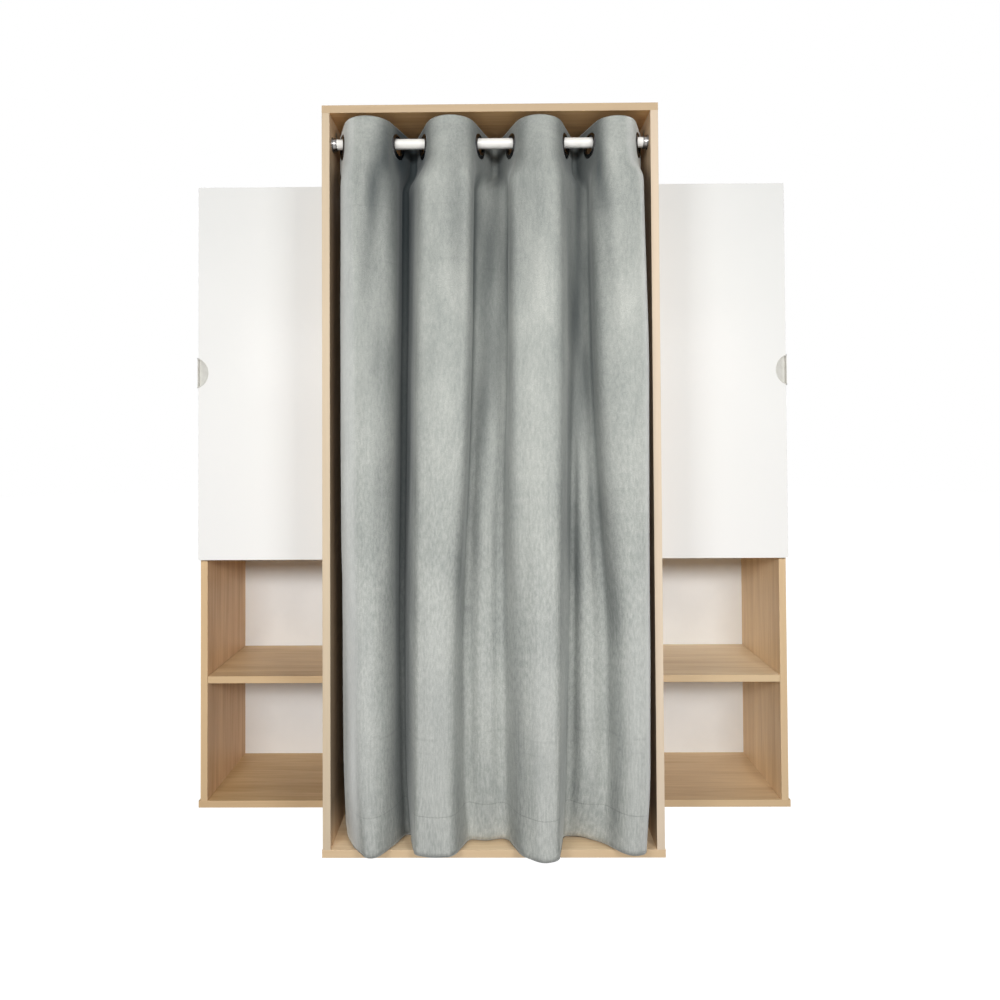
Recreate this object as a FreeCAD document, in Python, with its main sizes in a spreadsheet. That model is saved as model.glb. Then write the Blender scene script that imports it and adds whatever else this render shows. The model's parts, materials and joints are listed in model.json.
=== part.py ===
# A wardrobe of three cabinets that share their walls: a tall, deep one with a curtain on a rod, and a
# lower, shallower one on each side of it, with a cupboard over two open niches.
# Frame: +X to the right, +Y to the back, +Z up. The origin is on the floor, under the middle of the tall
# cabinet. Millimetres and degrees.
import FreeCAD
import Part
import Sketcher
import math
import os
from types import SimpleNamespace

doc = FreeCAD.newDocument("wardrobe")
Vec = FreeCAD.Vector
UP = Vec(0, 0, 1)
ALONG = {"X": Vec(1, 0, 0), "Y": Vec(0, 1, 0), "Z": UP}
# Turns of a cylinder that stands along Z
TURNS = {
    "X": FreeCAD.Rotation(Vec(0, 1, 0), 90),
    "Y": FreeCAD.Rotation(Vec(1, 0, 0), -90),
    "Z": FreeCAD.Rotation(),
}
SIDES = (("left", -1), ("right", 1))

# Driving dimensions
SIZES = {
    # Carcass boards
    "board": 19.0,
    "edge_round": 0.8,
    "back_board": 3.0,
    "back_inset": 2.0,
    "back_fit": 0.3,
    "back_strip_width": 14.0,
    "back_strip_thickness": 1.0,
    # Tall cabinet
    "tall_height": 1820.0,
    "tall_width": 820.0,
    "tall_depth": 500.0,
    "tall_base_lip": 1.5,
    # Side cabinets
    "side_height": 1700.0,
    "side_width": 392.0,
    "side_depth": 280.0,
    "side_base_lip": 5.0,
    "niche_height": 319.0,
    "shelf_end_gap": 1.0,
    "shelf_back_gap": 2.0,
    "cupboard_shelf_setback": 14.0,
    # Doors
    "door_thickness": 16.0,
    "door_gap": 0.8,
    "door_wall_gap": 2.0,
    "door_top_reveal": 1.0,
    "door_overlap": 17.0,
    "door_edge_round": 1.0,
    # Finger pulls in the outer edges of the doors
    "pull_radius": 44.0,
    "pull_centre_outside": 16.0,
    "pull_fit": 0.2,
    "pull_proud": 0.8,
    "pull_past_edge": 2.0,
    "pull_rim": 3.5,
    "pull_lip": 2.0,
    "pull_recess": 10.0,
    "pull_floor": 1.5,
    # Concealed hinges
    "hinge_axis_inset": 3.0,
    "hinge_end_distance": 100.0,
    "cup_radius": 17.3,
    "cup_depth": 11.5,
    "cup_wall": 1.0,
    "cup_edge_distance": 22.0,
    "cup_flange_radius": 20.0,
    "cup_flange": 1.0,
    "cup_fit": 0.2,
    "arm_width": 12.0,
    "arm_thickness": 9.0,
    "arm_length": 60.0,
    "arm_tip_width": 8.0,
    "arm_tip_reach": 8.0,
    "arm_tip_inset": 5.0,
    "arm_clearance": 0.8,
    "arm_crank": 10.0,
    "plate_thickness": 3.0,
    "plate_height": 50.0,
    "plate_width": 34.0,
    "plate_end_gap": 4.0,
    "plate_screw_radius": 2.0,
    "plate_screw_length": 14.0,
    "plate_screw_spacing": 32.0,
    # Curtain rod, hanging rail and their wall sockets
    "rod_radius": 12.5,
    "rod_wall": 1.2,
    "rod_drop": 64.0,
    "rod_setback": 33.0,
    "rail_radius": 12.0,
    "rail_drop": 60.0,
    "rail_setback": 280.0,
    "socket_base": 3.0,
    "socket_rim": 2.5,
    "socket_wall": 2.8,
    "socket_length": 12.0,
    "socket_fit": 0.2,
    "socket_screw_radius": 2.0,
    "socket_screw_head": 4.0,
    "socket_screw_length": 16.0,
    # Eyelets
    "eyelet_bore": 20.0,
    "eyelet_rim": 30.0,
    "eyelet_hub_wall": 2.2,
    "eyelet_depth": 9.0,
    "eyelet_rim_edge": 1.0,
    "eyelet_shoulder": 4.0,
    "eyelet_crown_fall": 0.3,
    "eyelet_lead": 1.2,
    "eyelet_seat": 0.3,
    "eyelet_hang_gap": 0.3,
    "eyelet_tilt": 21.0,
    # Curtain
    "cloth": 2.4,
    "header_rise": 46.0,
    "header_drop": 50.0,
    "header_tail": 45.0,
    "hem_height": 25.0,
    "hem_fold_depth": 100.0,
    # Fixings
    "fixing_fit": 0.1,
    "fixing_inset": 70.0,
    "dowel_offset": 32.0,
    "cam_radius": 7.5,
    "cam_floor": 0.5,
    "cam_setback": 24.0,
    "bolt_radius": 3.0,
    "bolt_bite": 10.0,
    "dowel_radius": 4.0,
    "dowel_length": 30.0,
    "dowel_bite": 10.0,
    "screw_radius": 2.5,
    "screw_length": 60.0,
    "screw_head": 5.0,
    "screw_head_depth": 4.0,
    "pin_radius": 2.5,
    "pin_bite": 8.0,
    "pin_reach": 9.0,
    "pin_inset": 37.0,
    "nail_radius": 0.9,
    "nail_length": 16.0,
    "nail_head": 2.4,
    "nail_head_depth": 0.7,
    "nail_inset": 60.0,
}
WALL_NAIL_COUNT = 5
CROSS_NAIL_COUNT = 3
CUPBOARD_BAY_COUNT = 3

# Places of the eyelets on the rod, as shares of half the clear width
EYELET_SHARES = (-0.933, -0.586, -0.419, -0.066, 0.136, 0.478, 0.637, 0.937)
# How far a bend of the header reaches back along its flank, as a share of the way to the rod
FRONT_BEND_SHARE = 0.83
BACK_BEND_SHARE = 0.30
# The hem's corners, from the left end over four folds to the front and three to the back: the place across
# as a share of half the clear width, the place behind the rod as a share of hem_fold_depth, and the run of
# the bend as a share of the shorter of its two flanks
HEM_SHARES = (
    (-0.969, 0.68, 0.00),
    (-0.698, -1.61, 0.50),
    (-0.563, 0.51, 0.18),
    (-0.379, -1.23, 0.46),
    (0.074, 1.00, 0.48),
    (0.312, -3.06, 0.69),
    (0.438, 0.54, 0.22),
    (0.881, -0.88, 0.46),
    (0.972, 0.02, 0.00),
)

sheet = doc.addObject("Spreadsheet::Sheet", "Sizes")
for row, (alias, amount) in enumerate(SIZES.items(), start=1):
    sheet.set("A%d" % row, alias.replace("_", " "))
    sheet.set("B%d" % row, str(amount))
    sheet.setAlias("B%d" % row, alias)
doc.recompute()


class Measure:
    """A length or place: its value, and the words that bind a property to the sheet's cells."""

    def __init__(self, words, value):
        self.words = words
        self.value = value

    def __add__(self, other):
        other = measured(other)
        return Measure("(%s + %s)" % (self.words, other.words), self.value + other.value)

    def __sub__(self, other):
        other = measured(other)
        return Measure("(%s - %s)" % (self.words, other.words), self.value - other.value)

    def __rsub__(self, other):
        return measured(other) - self

    def __mul__(self, other):
        other = measured(other)
        return Measure("%s * %s" % (self.words, other.words), self.value * other.value)

    def __truediv__(self, other):
        other = measured(other)
        return Measure("%s / %s" % (self.words, other.words), self.value / other.value)

    def __neg__(self):
        return self * -1

    __radd__ = __add__
    __rmul__ = __mul__


def measured(amount):
    if isinstance(amount, Measure):
        return amount
    return Measure("(%.6f)" % amount, amount)


def bind(thing, prop, amount):
    thing.setExpression(prop, measured(amount).words)


S = SimpleNamespace(**{alias: Measure("Sizes." + alias, float(sheet.get(alias))) for alias in SIZES})


def place(thing, x, y, z, rotation=None):
    """Binds a thing's place to the sheet and gives it a fixed turn."""
    thing.Placement = FreeCAD.Placement(Vec(), rotation or FreeCAD.Rotation())
    bind(thing, "Placement.Base.x", x)
    bind(thing, "Placement.Base.y", y)
    bind(thing, "Placement.Base.z", z)


def across(sign, inner, outer):
    """The left end and the length of what lies between two distances to one side of the middle plane."""
    return (inner if sign > 0 else -outer), outer - inner


# Each finished sub-part, under the label that names its file
parts = {}


def keep(thing, label):
    thing.Label = label
    parts[label] = thing
    return thing


def origin_plane(body, role):
    return [plane for plane in body.Origin.OriginFeatures if plane.Role == role][0]


def outline(body, name, corners):
    """A closed sketch of straight lines on a body's XY plane, with each corner bound to the sheet."""
    sketch = body.newObject("Sketcher::SketchObject", name)
    sketch.AttachmentSupport = [(origin_plane(body, "XY_Plane"), "")]
    sketch.MapMode = "FlatFace"
    corners = [(measured(x), measured(y)) for x, y in corners]
    points = [Vec(x.value, y.value, 0) for x, y in corners]
    for start, end in zip(points, points[1:] + points[:1]):
        sketch.addGeometry(Part.LineSegment(start, end), False)
    for index in range(len(points)):
        sketch.addConstraint(Sketcher.Constraint("Coincident", index, 2, (index + 1) % len(points), 1))
    for index, corner in enumerate(corners):
        for kind, amount in zip(("DistanceX", "DistanceY"), corner):
            held = sketch.addConstraint(Sketcher.Constraint(kind, -1, 1, index, 1, amount.value))
            sketch.setExpression("Constraints[%d]" % held, amount.words)
    return sketch


def padded(name, corners, height):
    """A body pulled up from its outline."""
    body = doc.addObject("PartDesign::Body", name)
    pad = body.newObject("PartDesign::Pad", name + "_pad")
    pad.Profile = outline(body, name + "_outline", corners)
    bind(pad, "Length", height)
    return body


def turned(name, corners):
    """A body turned about its X axis; each corner is a place along the axis and a radius."""
    body = doc.addObject("PartDesign::Body", name)
    section = outline(body, name + "_section", corners)
    turn = body.newObject("PartDesign::Revolution", name + "_turn")
    turn.Profile = section
    turn.ReferenceAxis = (section, ["H_Axis"])
    turn.Angle = 360
    return body


def cylinder(name, axis, start, length, radius):
    """A cylinder from start towards +X, +Y or +Z."""
    rod = doc.addObject("Part::Cylinder", name)
    bind(rod, "Radius", radius)
    bind(rod, "Height", length)
    place(rod, *start, TURNS[axis])
    return rod


def box(name, start, width, depth, height):
    block = doc.addObject("Part::Box", name)
    bind(block, "Length", width)
    bind(block, "Width", depth)
    bind(block, "Height", height)
    place(block, *start)
    return block


def joined(name, things):
    fuse = doc.addObject("Part::MultiFuse", name)
    fuse.Shapes = things
    return fuse


def cut(name, base, tools):
    """The base less its tools."""
    result = doc.addObject("Part::Cut", name)
    result.Base = base
    result.Tool = tools[0] if len(tools) == 1 else joined(name + "_tools", tools)
    return result


def group(name, things):
    compound = doc.addObject("Part::Compound", name)
    compound.Links = things
    return compound


# Lines that the pieces share
TALL_FRONT = -S.tall_depth / 2
REAR = S.tall_depth / 2
BOARD_REAR = REAR - S.back_board
SIDE_FRONT = REAR - S.side_depth
TALL_BOARD_DEPTH = S.tall_depth - S.back_board
SIDE_BOARD_DEPTH = S.side_depth - S.back_board
INNER_FACE = S.tall_width / 2 - S.board
SHARED_FACE = S.tall_width / 2
BASE_SEAM = S.tall_width / 2 + S.tall_base_lip
OUTER_INSIDE = S.tall_width / 2 + S.side_width - S.board
OUTER_FACE = S.tall_width / 2 + S.side_width
TALL_CEILING = S.tall_height - S.board
SIDE_CEILING = S.side_height - S.board
NICHE_SHELF = S.board + S.niche_height
FIXED_SHELF = NICHE_SHELF + S.board + S.niche_height
CUPBOARD_FLOOR = FIXED_SHELF + S.board
ROD_LINE = TALL_FRONT + S.rod_setback
ROD_HEIGHT = TALL_CEILING - S.rod_drop
RAIL_LINE = TALL_FRONT + S.rail_setback
RAIL_HEIGHT = TALL_CEILING - S.rail_drop

blanks = {}
bores = {}


def board(label, x_and_width, y_and_depth, z_and_height, along):
    """A board whose front edges along one axis are rounded."""
    (x, width), (y, depth), (z, height) = x_and_width, y_and_depth, z_and_height
    body = padded(label + "_blank", [(0, 0), (width, 0), (width, depth), (0, depth)], height)
    place(body, x, y, z)
    doc.recompute()
    pad = body.Tip
    middle = pad.Shape.BoundBox.Center
    front_edges = []
    for index, edge in enumerate(pad.Shape.Edges, start=1):
        run = (edge.Vertexes[-1].Point - edge.Vertexes[0].Point).normalize()
        if abs(run.dot(ALONG[along])) > 0.99 and edge.CenterOfMass.y < middle.y:
            front_edges.append("Edge%d" % index)
    rounding = body.newObject("PartDesign::Fillet", label + "_rounding")
    rounding.Base = (pad, front_edges)
    bind(rounding, "Radius", S.edge_round)
    blanks[label] = body
    bores[label] = []


TALL_RUN = (TALL_FRONT, TALL_BOARD_DEPTH)
SIDE_RUN = (SIDE_FRONT, SIDE_BOARD_DEPTH)

# Tall cabinet: the walls stand on the base, and the top lies over them
board("tall_base", (-BASE_SEAM, 2 * BASE_SEAM), TALL_RUN, (0, S.board), "X")
board("tall_top", (-SHARED_FACE, S.tall_width), TALL_RUN, (TALL_CEILING, S.board), "X")
for side, sign in SIDES:
    board(
        "tall_%s_wall" % side, across(sign, INNER_FACE, SHARED_FACE), TALL_RUN,
        (S.board, S.tall_height - 2 * S.board), "Z",
    )

# Side cabinets: the tall cabinet's wall is their inner wall, and two shelves part each cupboard into equal
# bays, one for each hinge of its door
BAY_STEP = (SIDE_CEILING - CUPBOARD_FLOOR + S.board) / CUPBOARD_BAY_COUNT
LOOSE_SHELVES = (
    ("niche_shelf", NICHE_SHELF, 0),
    ("lower_cupboard_shelf", CUPBOARD_FLOOR + BAY_STEP - S.board, S.cupboard_shelf_setback),
    ("upper_cupboard_shelf", CUPBOARD_FLOOR + 2 * BAY_STEP - S.board, S.cupboard_shelf_setback),
)
for side, sign in SIDES:
    board(
        side + "_base", across(sign, BASE_SEAM, OUTER_FACE + S.side_base_lip), SIDE_RUN,
        (0, S.board), "X",
    )
    board(side + "_top", across(sign, SHARED_FACE, OUTER_FACE), SIDE_RUN, (SIDE_CEILING, S.board), "X")
    board(
        side + "_outer_wall", across(sign, OUTER_INSIDE, OUTER_FACE), SIDE_RUN,
        (S.board, S.side_height - 2 * S.board), "Z",
    )
    board(
        side + "_fixed_shelf", across(sign, SHARED_FACE, OUTER_INSIDE), SIDE_RUN,
        (FIXED_SHELF, S.board), "X",
    )
    for name, height, setback in LOOSE_SHELVES:
        board(
            "%s_%s" % (side, name),
            across(sign, SHARED_FACE + S.shelf_end_gap, OUTER_INSIDE - S.shelf_end_gap),
            (SIDE_FRONT + setback, SIDE_BOARD_DEPTH - S.shelf_back_gap - setback),
            (height, S.board), "X",
        )

# Fixings, each group in one file, with their bores in the boards
fixings = {
    "cam_locks": [], "cam_bolts": [], "dowels": [], "base_screws": [], "shelf_pins": [],
    "back_nails": [],
}


def fixing(kind, thing, bore, boards):
    fixings[kind].append(thing)
    for label in boards:
        bores[label].append(bore)


def bar(name, axis, sign, at, inner, outer, radius):
    """A cylinder beside a place: from inner to outer along an axis, towards sign."""
    start = list(at)
    start["XYZ".index(axis)] = start["XYZ".index(axis)] + across(sign, inner, outer)[0]
    return cylinder(name, axis, start, outer - inner, radius)


def dowel(name, axis, sign, at, boards):
    """A dowel across a seam: at is its place on the seam, sign points into the board that ends there."""
    bite, rest = -S.dowel_bite, S.dowel_length - S.dowel_bite
    pin = bar(name, axis, sign, at, bite, rest, S.dowel_radius)
    bore = bar(
        name + "_bore", axis, sign, at, bite - S.fixing_fit, rest + S.fixing_fit,
        S.dowel_radius + S.fixing_fit,
    )
    fixing("dowels", pin, bore, boards)


def cam_lock(name, axis, sign, at, face_axis, face_sign, boards):
    """A cam in the board that ends at a seam, and the bolt that it pulls out of the other board."""
    depth = S.board / 2 + S.bolt_radius + S.cam_floor
    centre = list(at)
    centre["XYZ".index(axis)] = centre["XYZ".index(axis)] + sign * S.cam_setback
    bolt_bore = bar(
        name + "_bolt_bore", axis, sign, at, -S.bolt_bite - S.fixing_fit, S.cam_setback,
        S.bolt_radius + S.fixing_fit,
    )
    bolt = bar(
        name + "_bolt", axis, sign, at, -S.bolt_bite, S.cam_setback - S.fixing_fit, S.bolt_radius
    )
    disc = bar(
        name + "_disc", face_axis, face_sign, centre, S.board / 2 - depth, S.board / 2, S.cam_radius
    )
    cam = cut(name, disc, [bolt_bore])
    cam_bore = bar(
        name + "_bore", face_axis, face_sign, centre, S.board / 2 - depth - S.fixing_fit,
        S.board / 2 + S.fixing_fit, S.cam_radius + S.fixing_fit,
    )
    fixing("cam_locks", cam, cam_bore, boards[:1])
    fixing("cam_bolts", bolt, bolt_bore, boards)


def seam_places(front):
    """The places along a seam, for the cams or screws and for the dowels beside them."""
    first, last = front + S.fixing_inset, BOARD_REAR - S.fixing_inset
    return (first, first + S.dowel_offset), (last, last - S.dowel_offset)


def cam_seam(name, axis, sign, x, z, front, face_axis, face_sign, boards):
    for row, (cam_y, dowel_y) in enumerate(seam_places(front)):
        end = "%s_%d" % (name, row)
        cam_lock(end + "_cam", axis, sign, (x, cam_y, z), face_axis, face_sign, boards)
        dowel(end + "_dowel", axis, sign, (x, dowel_y, z), boards)


def screwed_seam(name, x, front, boards):
    """Countersunk screws up through a base into a wall, with dowels beside them."""
    for row, (screw_y, dowel_y) in enumerate(seam_places(front)):
        end = "%s_%d" % (name, row)
        pieces = []
        for kind, spare in (("screw", 0), ("bore", S.fixing_fit)):
            foot = (x, screw_y, S.fixing_fit - spare)
            shank = cylinder(
                "%s_%s_shank" % (end, kind), "Z", foot, S.screw_length + spare, S.screw_radius + spare
            )
            head = doc.addObject("Part::Cone", "%s_%s_head" % (end, kind))
            bind(head, "Radius1", S.screw_head + spare)
            bind(head, "Radius2", S.screw_radius + spare)
            bind(head, "Height", S.screw_head_depth)
            place(head, *foot)
            pieces.append(joined("%s_%s" % (end, kind), [shank, head]))
        fixing("base_screws", pieces[0], pieces[1], boards)
        dowel(end + "_dowel", "Z", 1, (x, dowel_y, S.board), boards)


for side, sign in SIDES:
    tall_wall, outer_wall = "tall_%s_wall" % side, side + "_outer_wall"
    wall_middle = sign * (INNER_FACE + S.board / 2)
    outer_middle = sign * (OUTER_INSIDE + S.board / 2)
    top, shelf = side + "_top", side + "_fixed_shelf"
    screwed_seam(tall_wall + "_foot", wall_middle, TALL_FRONT, (tall_wall, "tall_base"))
    screwed_seam(outer_wall + "_foot", outer_middle, SIDE_FRONT, (outer_wall, side + "_base"))
    cam_seam(
        tall_wall + "_head", "Z", -1, wall_middle, TALL_CEILING, TALL_FRONT, "X", -sign,
        (tall_wall, "tall_top"),
    )
    cam_seam(
        outer_wall + "_head", "Z", -1, outer_middle, SIDE_CEILING, SIDE_FRONT, "X", -sign,
        (outer_wall, top),
    )
    cam_seam(
        top + "_end", "X", sign, sign * SHARED_FACE, SIDE_CEILING + S.board / 2, SIDE_FRONT, "Z", -1,
        (top, tall_wall),
    )
    for end, x, towards, wall in (
        ("inner", SHARED_FACE, 1, tall_wall), ("outer", OUTER_INSIDE, -1, outer_wall),
    ):
        cam_seam(
            "%s_%s" % (shelf, end), "X", sign * towards, sign * x, FIXED_SHELF + S.board / 2,
            SIDE_FRONT, "Z", -1, (shelf, wall),
        )
    for row, (_, dowel_y) in enumerate(seam_places(SIDE_FRONT)):
        dowel(
            "%s_base_end_%d_dowel" % (side, row), "X", sign, (sign * BASE_SEAM, dowel_y, S.board / 2),
            (side + "_base", "tall_base"),
        )
    # Pins under the loose shelves
    for name, height, setback in LOOSE_SHELVES:
        rows = (SIDE_FRONT + setback + S.pin_inset, BOARD_REAR - S.shelf_back_gap - S.pin_inset)
        for wall, face, towards in ((tall_wall, SHARED_FACE, 1), (outer_wall, OUTER_INSIDE, -1)):
            for row, y in enumerate(rows):
                at = (sign * face, y, height - S.pin_radius - S.fixing_fit)
                pin_name = "%s_%s_pin_%d" % (wall, name, row)
                pin = bar(pin_name, "X", sign * towards, at, -S.pin_bite, S.pin_reach, S.pin_radius)
                bore = bar(
                    pin_name + "_bore", "X", sign * towards, at, -S.pin_bite - S.fixing_fit,
                    S.pin_reach, S.pin_radius + S.fixing_fit,
                )
                fixing("shelf_pins", pin, bore, (wall,))

# Back panels: two halves with a strip over their seam behind the tall cabinet, one behind each side
# cabinet; panels that meet behind a wall each cover half of its edge
WALL_HALF = SHARED_FACE - S.board / 2
BACK_RISE = S.tall_height - 2 * S.back_inset


def back_panel(label, x_and_width, height):
    x, width = x_and_width
    panel = padded(label + "_blank", [(0, 0), (width, 0), (width, S.back_board), (0, S.back_board)], height)
    place(panel, x, BOARD_REAR, S.back_inset)
    blanks[label] = panel
    bores[label] = []


def nail(name, x, z, panel, wood):
    """A nail with its head sunk in the panel's rear face."""
    pieces = []
    for kind, spare in (("nail", 0), ("bore", S.fixing_fit)):
        tip = (x, REAR - S.nail_length - spare, z)
        shank = cylinder(
            "%s_%s_shank" % (name, kind), "Y", tip, S.nail_length + spare, S.nail_radius + spare
        )
        neck = (x, REAR - S.nail_head_depth - spare, z)
        head = cylinder(
            "%s_%s_head" % (name, kind), "Y", neck, S.nail_head_depth + spare, S.nail_head + spare
        )
        pieces.append(joined("%s_%s" % (name, kind), [shank, head]))
    fixing("back_nails", pieces[0], pieces[1], (panel, wood))


def nail_row(name, count, low, high, place_of, panel, wood):
    for index in range(count):
        x, z = place_of(low + (high - low) * (index / (count - 1)))
        nail("%s_%d" % (name, index), x, z, panel, wood)


for side, sign in SIDES:
    tall_wall, outer_wall = "tall_%s_wall" % side, side + "_outer_wall"
    tall_back, side_back = "tall_back_" + side, side + "_back"
    back_panel(
        tall_back, across(sign, S.back_strip_thickness / 2 + S.back_fit, WALL_HALF - S.back_fit),
        BACK_RISE,
    )
    back_panel(
        side_back, across(sign, WALL_HALF + S.back_fit, OUTER_FACE - S.back_inset),
        S.side_height - 2 * S.back_inset,
    )
    for name, x, top, panel, wood in (
        ("tall_inner", INNER_FACE + S.board / 4, S.tall_height, tall_back, tall_wall),
        ("side_inner", SHARED_FACE - S.board / 4, S.side_height, side_back, tall_wall),
        ("side_outer", OUTER_FACE - S.board / 2, S.side_height, side_back, outer_wall),
    ):
        nail_row(
            "%s_%s" % (side, name), WALL_NAIL_COUNT, S.nail_inset, top - S.nail_inset,
            lambda run: (sign * x, run), panel, wood,
        )
    for name, inner, outer, z, panel, wood in (
        ("tall_base", 0, INNER_FACE, S.board / 2, tall_back, "tall_base"),
        ("tall_top", 0, INNER_FACE, S.tall_height - S.board / 2, tall_back, "tall_top"),
        ("side_base", SHARED_FACE, OUTER_INSIDE, S.board / 2, side_back, side + "_base"),
        (
            "side_shelf", SHARED_FACE, OUTER_INSIDE, FIXED_SHELF + S.board / 2, side_back,
            side + "_fixed_shelf",
        ),
        ("side_top", SHARED_FACE, OUTER_INSIDE, S.side_height - S.board / 2, side_back, side + "_top"),
    ):
        nail_row(
            "%s_%s" % (side, name), CROSS_NAIL_COUNT, inner + S.nail_inset, outer - S.nail_inset,
            lambda run: (sign * run, z), panel, wood,
        )

for label, blank in blanks.items():
    keep(cut(label + "_bored", blank, bores[label]) if bores[label] else blank, label)
for name, things in fixings.items():
    keep(group(name + "_group", things), name)

strip_half, web_half = S.back_strip_width / 2, S.back_strip_thickness / 2
strip = padded(
    "tall_back_strip_body",
    [
        (-strip_half, -S.back_strip_thickness), (strip_half, -S.back_strip_thickness), (strip_half, 0),
        (web_half, 0), (web_half, S.back_board), (-web_half, S.back_board), (-web_half, 0),
        (-strip_half, 0),
    ],
    TALL_CEILING - S.board,
)
place(strip, 0, BOARD_REAR, S.board)
keep(strip, "tall_back_strip")

# Doors, in front of the side cabinets' front edges
DOOR_BACK = SIDE_FRONT - S.door_gap
DOOR_FRONT = DOOR_BACK - S.door_thickness
DOOR_INNER = SHARED_FACE + S.door_wall_gap
DOOR_BOTTOM = FIXED_SHELF + S.board - S.door_overlap
DOOR_TOP = S.side_height - S.door_top_reveal
DOOR_MIDDLE = (DOOR_BOTTOM + DOOR_TOP) / 2
HINGE_AXIS = DOOR_INNER + S.hinge_axis_inset
HINGE_LINE = DOOR_FRONT + S.hinge_axis_inset
CUP_LINE = DOOR_INNER + S.cup_edge_distance
HINGE_HEIGHTS = (DOOR_BOTTOM + S.hinge_end_distance, DOOR_MIDDLE, DOOR_TOP - S.hinge_end_distance)
PULL_DEPTH = S.pull_recess + S.pull_floor
PULL_LINE = OUTER_FACE + S.pull_centre_outside


def pull(side, sign):
    """A half-moon tray let into the door's outer edge, and the disc that cuts its seat."""
    seat = cylinder(
        side + "_pull_seat", "Y", (sign * PULL_LINE, DOOR_FRONT - S.pull_proud, DOOR_MIDDLE),
        PULL_DEPTH + S.pull_proud + S.pull_fit, S.pull_radius,
    )
    shapes = []
    for name, radius, past, depth in (
        ("tray", S.pull_radius - S.pull_fit, S.pull_past_edge, PULL_DEPTH + S.pull_proud),
        ("hollow", S.pull_radius - S.pull_fit - S.pull_rim, S.pull_past_edge - S.pull_lip,
         S.pull_recess + S.pull_proud),
    ):
        start = (sign * PULL_LINE, DOOR_FRONT - S.pull_proud, DOOR_MIDDLE)
        disc = cylinder("%s_pull_%s_disc" % (side, name), "Y", start, depth, radius)
        x, width = across(sign, PULL_LINE - S.pull_radius, OUTER_FACE + past)
        slab = box(
            "%s_pull_%s_slab" % (side, name),
            (x, DOOR_FRONT - S.pull_proud, DOOR_MIDDLE - S.pull_radius),
            width, depth, 2 * S.pull_radius,
        )
        common = doc.addObject("Part::Common", "%s_pull_%s" % (side, name))
        common.Base = disc
        common.Tool = slab
        shapes.append(common)
    keep(cut(side + "_pull_tray_hollowed", shapes[0], shapes[1:]), side + "_pull")
    return seat


def hinge_cup(name, x, z):
    """A flanged cup that opens to the back."""
    floor = DOOR_BACK - S.cup_depth
    shell = cylinder(name + "_shell", "Y", (x, floor, z), S.cup_depth, S.cup_radius)
    flange = cylinder(name + "_flange", "Y", (x, DOOR_BACK, z), S.cup_flange, S.cup_flange_radius)
    hollow = cylinder(
        name + "_hollow", "Y", (x, floor + S.cup_wall, z),
        S.cup_depth - S.cup_wall + S.cup_flange, S.cup_radius - S.cup_wall,
    )
    bore = cylinder(
        name + "_bore", "Y", (x, floor - S.cup_fit, z), S.cup_depth + S.cup_fit, S.cup_radius + S.cup_fit
    )
    return cut(name, joined(name + "_blank", [shell, flange]), [hollow]), bore


def hinge_arm(name, sign, z):
    """A cranked arm from a plate on the wall into the cup; it stays still, and the door swings off it."""
    wall = -S.door_wall_gap - S.hinge_axis_inset
    back = S.door_thickness - S.hinge_axis_inset
    near = S.cup_edge_distance - S.hinge_axis_inset - S.arm_tip_inset
    far = near + S.arm_tip_width
    clear = back + S.cup_flange + S.arm_clearance
    low, high = wall + S.plate_thickness, wall + S.plate_thickness + S.arm_thickness
    corners = [
        (near, back - S.arm_tip_reach), (far, back - S.arm_tip_reach), (far, clear),
        (high, clear + S.arm_crank + S.arm_thickness / 2), (high, back + S.arm_length),
        (low, back + S.arm_length), (low, clear + S.arm_crank), (near - S.arm_thickness / 2, clear),
    ]
    arm = padded(name + "_arm", [(sign * x, y) for x, y in corners], S.arm_width)
    place(arm, sign * HINGE_AXIS, HINGE_LINE, z - S.arm_width / 2)
    plate_rear = HINGE_LINE + back + S.arm_length - S.plate_end_gap
    x, width = across(sign, SHARED_FACE, SHARED_FACE + S.plate_thickness)
    plate = box(
        name + "_plate", (x, plate_rear - S.plate_width, z - S.plate_height / 2),
        width, S.plate_width, S.plate_height,
    )
    screws, holes = [], []
    for row, rise in enumerate((-S.plate_screw_spacing / 2, S.plate_screw_spacing / 2)):
        at = (sign * SHARED_FACE, plate_rear - S.plate_width / 2, z + rise)
        screw_name = "%s_screw_%d" % (name, row)
        reach = S.plate_screw_length - S.plate_thickness
        screws.append(bar(screw_name, "X", sign, at, -reach, S.plate_thickness, S.plate_screw_radius))
        holes.append(
            bar(
                screw_name + "_hole", "X", sign, at, -reach - S.fixing_fit, S.plate_thickness,
                S.plate_screw_radius + S.fixing_fit,
            )
        )
    return cut(name, joined(name + "_blank", [arm, plate]), holes), screws, holes


plate_screws = []
for side, sign in SIDES:
    x, width = across(sign, DOOR_INNER, OUTER_FACE)
    board(
        side + "_door", (x, width), (DOOR_FRONT, S.door_thickness),
        (DOOR_BOTTOM, DOOR_TOP - DOOR_BOTTOM), "Z",
    )
    cutters = [pull(side, sign)]
    cups, arms, wall_holes = [], [], []
    for row, z in enumerate(HINGE_HEIGHTS):
        cup, bore = hinge_cup("%s_hinge_cup_%d" % (side, row), sign * CUP_LINE, z)
        arm, screws, holes = hinge_arm("%s_hinge_%d" % (side, row), sign, z)
        cups.append(cup)
        cutters.append(bore)
        arms.append(arm)
        plate_screws += screws
        wall_holes += holes
    keep(cut(side + "_door_cut", blanks[side + "_door"], cutters), side + "_door")
    keep(group(side + "_hinge_cup_group", cups), side + "_hinge_cups")
    keep(group(side + "_hinge_arm_group", arms), side + "_hinge_arms")
    wall = parts["tall_%s_wall" % side]
    wall.Tool.Shapes = wall.Tool.Shapes + wall_holes
keep(group("hinge_screw_group", plate_screws), "hinge_screws")

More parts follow.
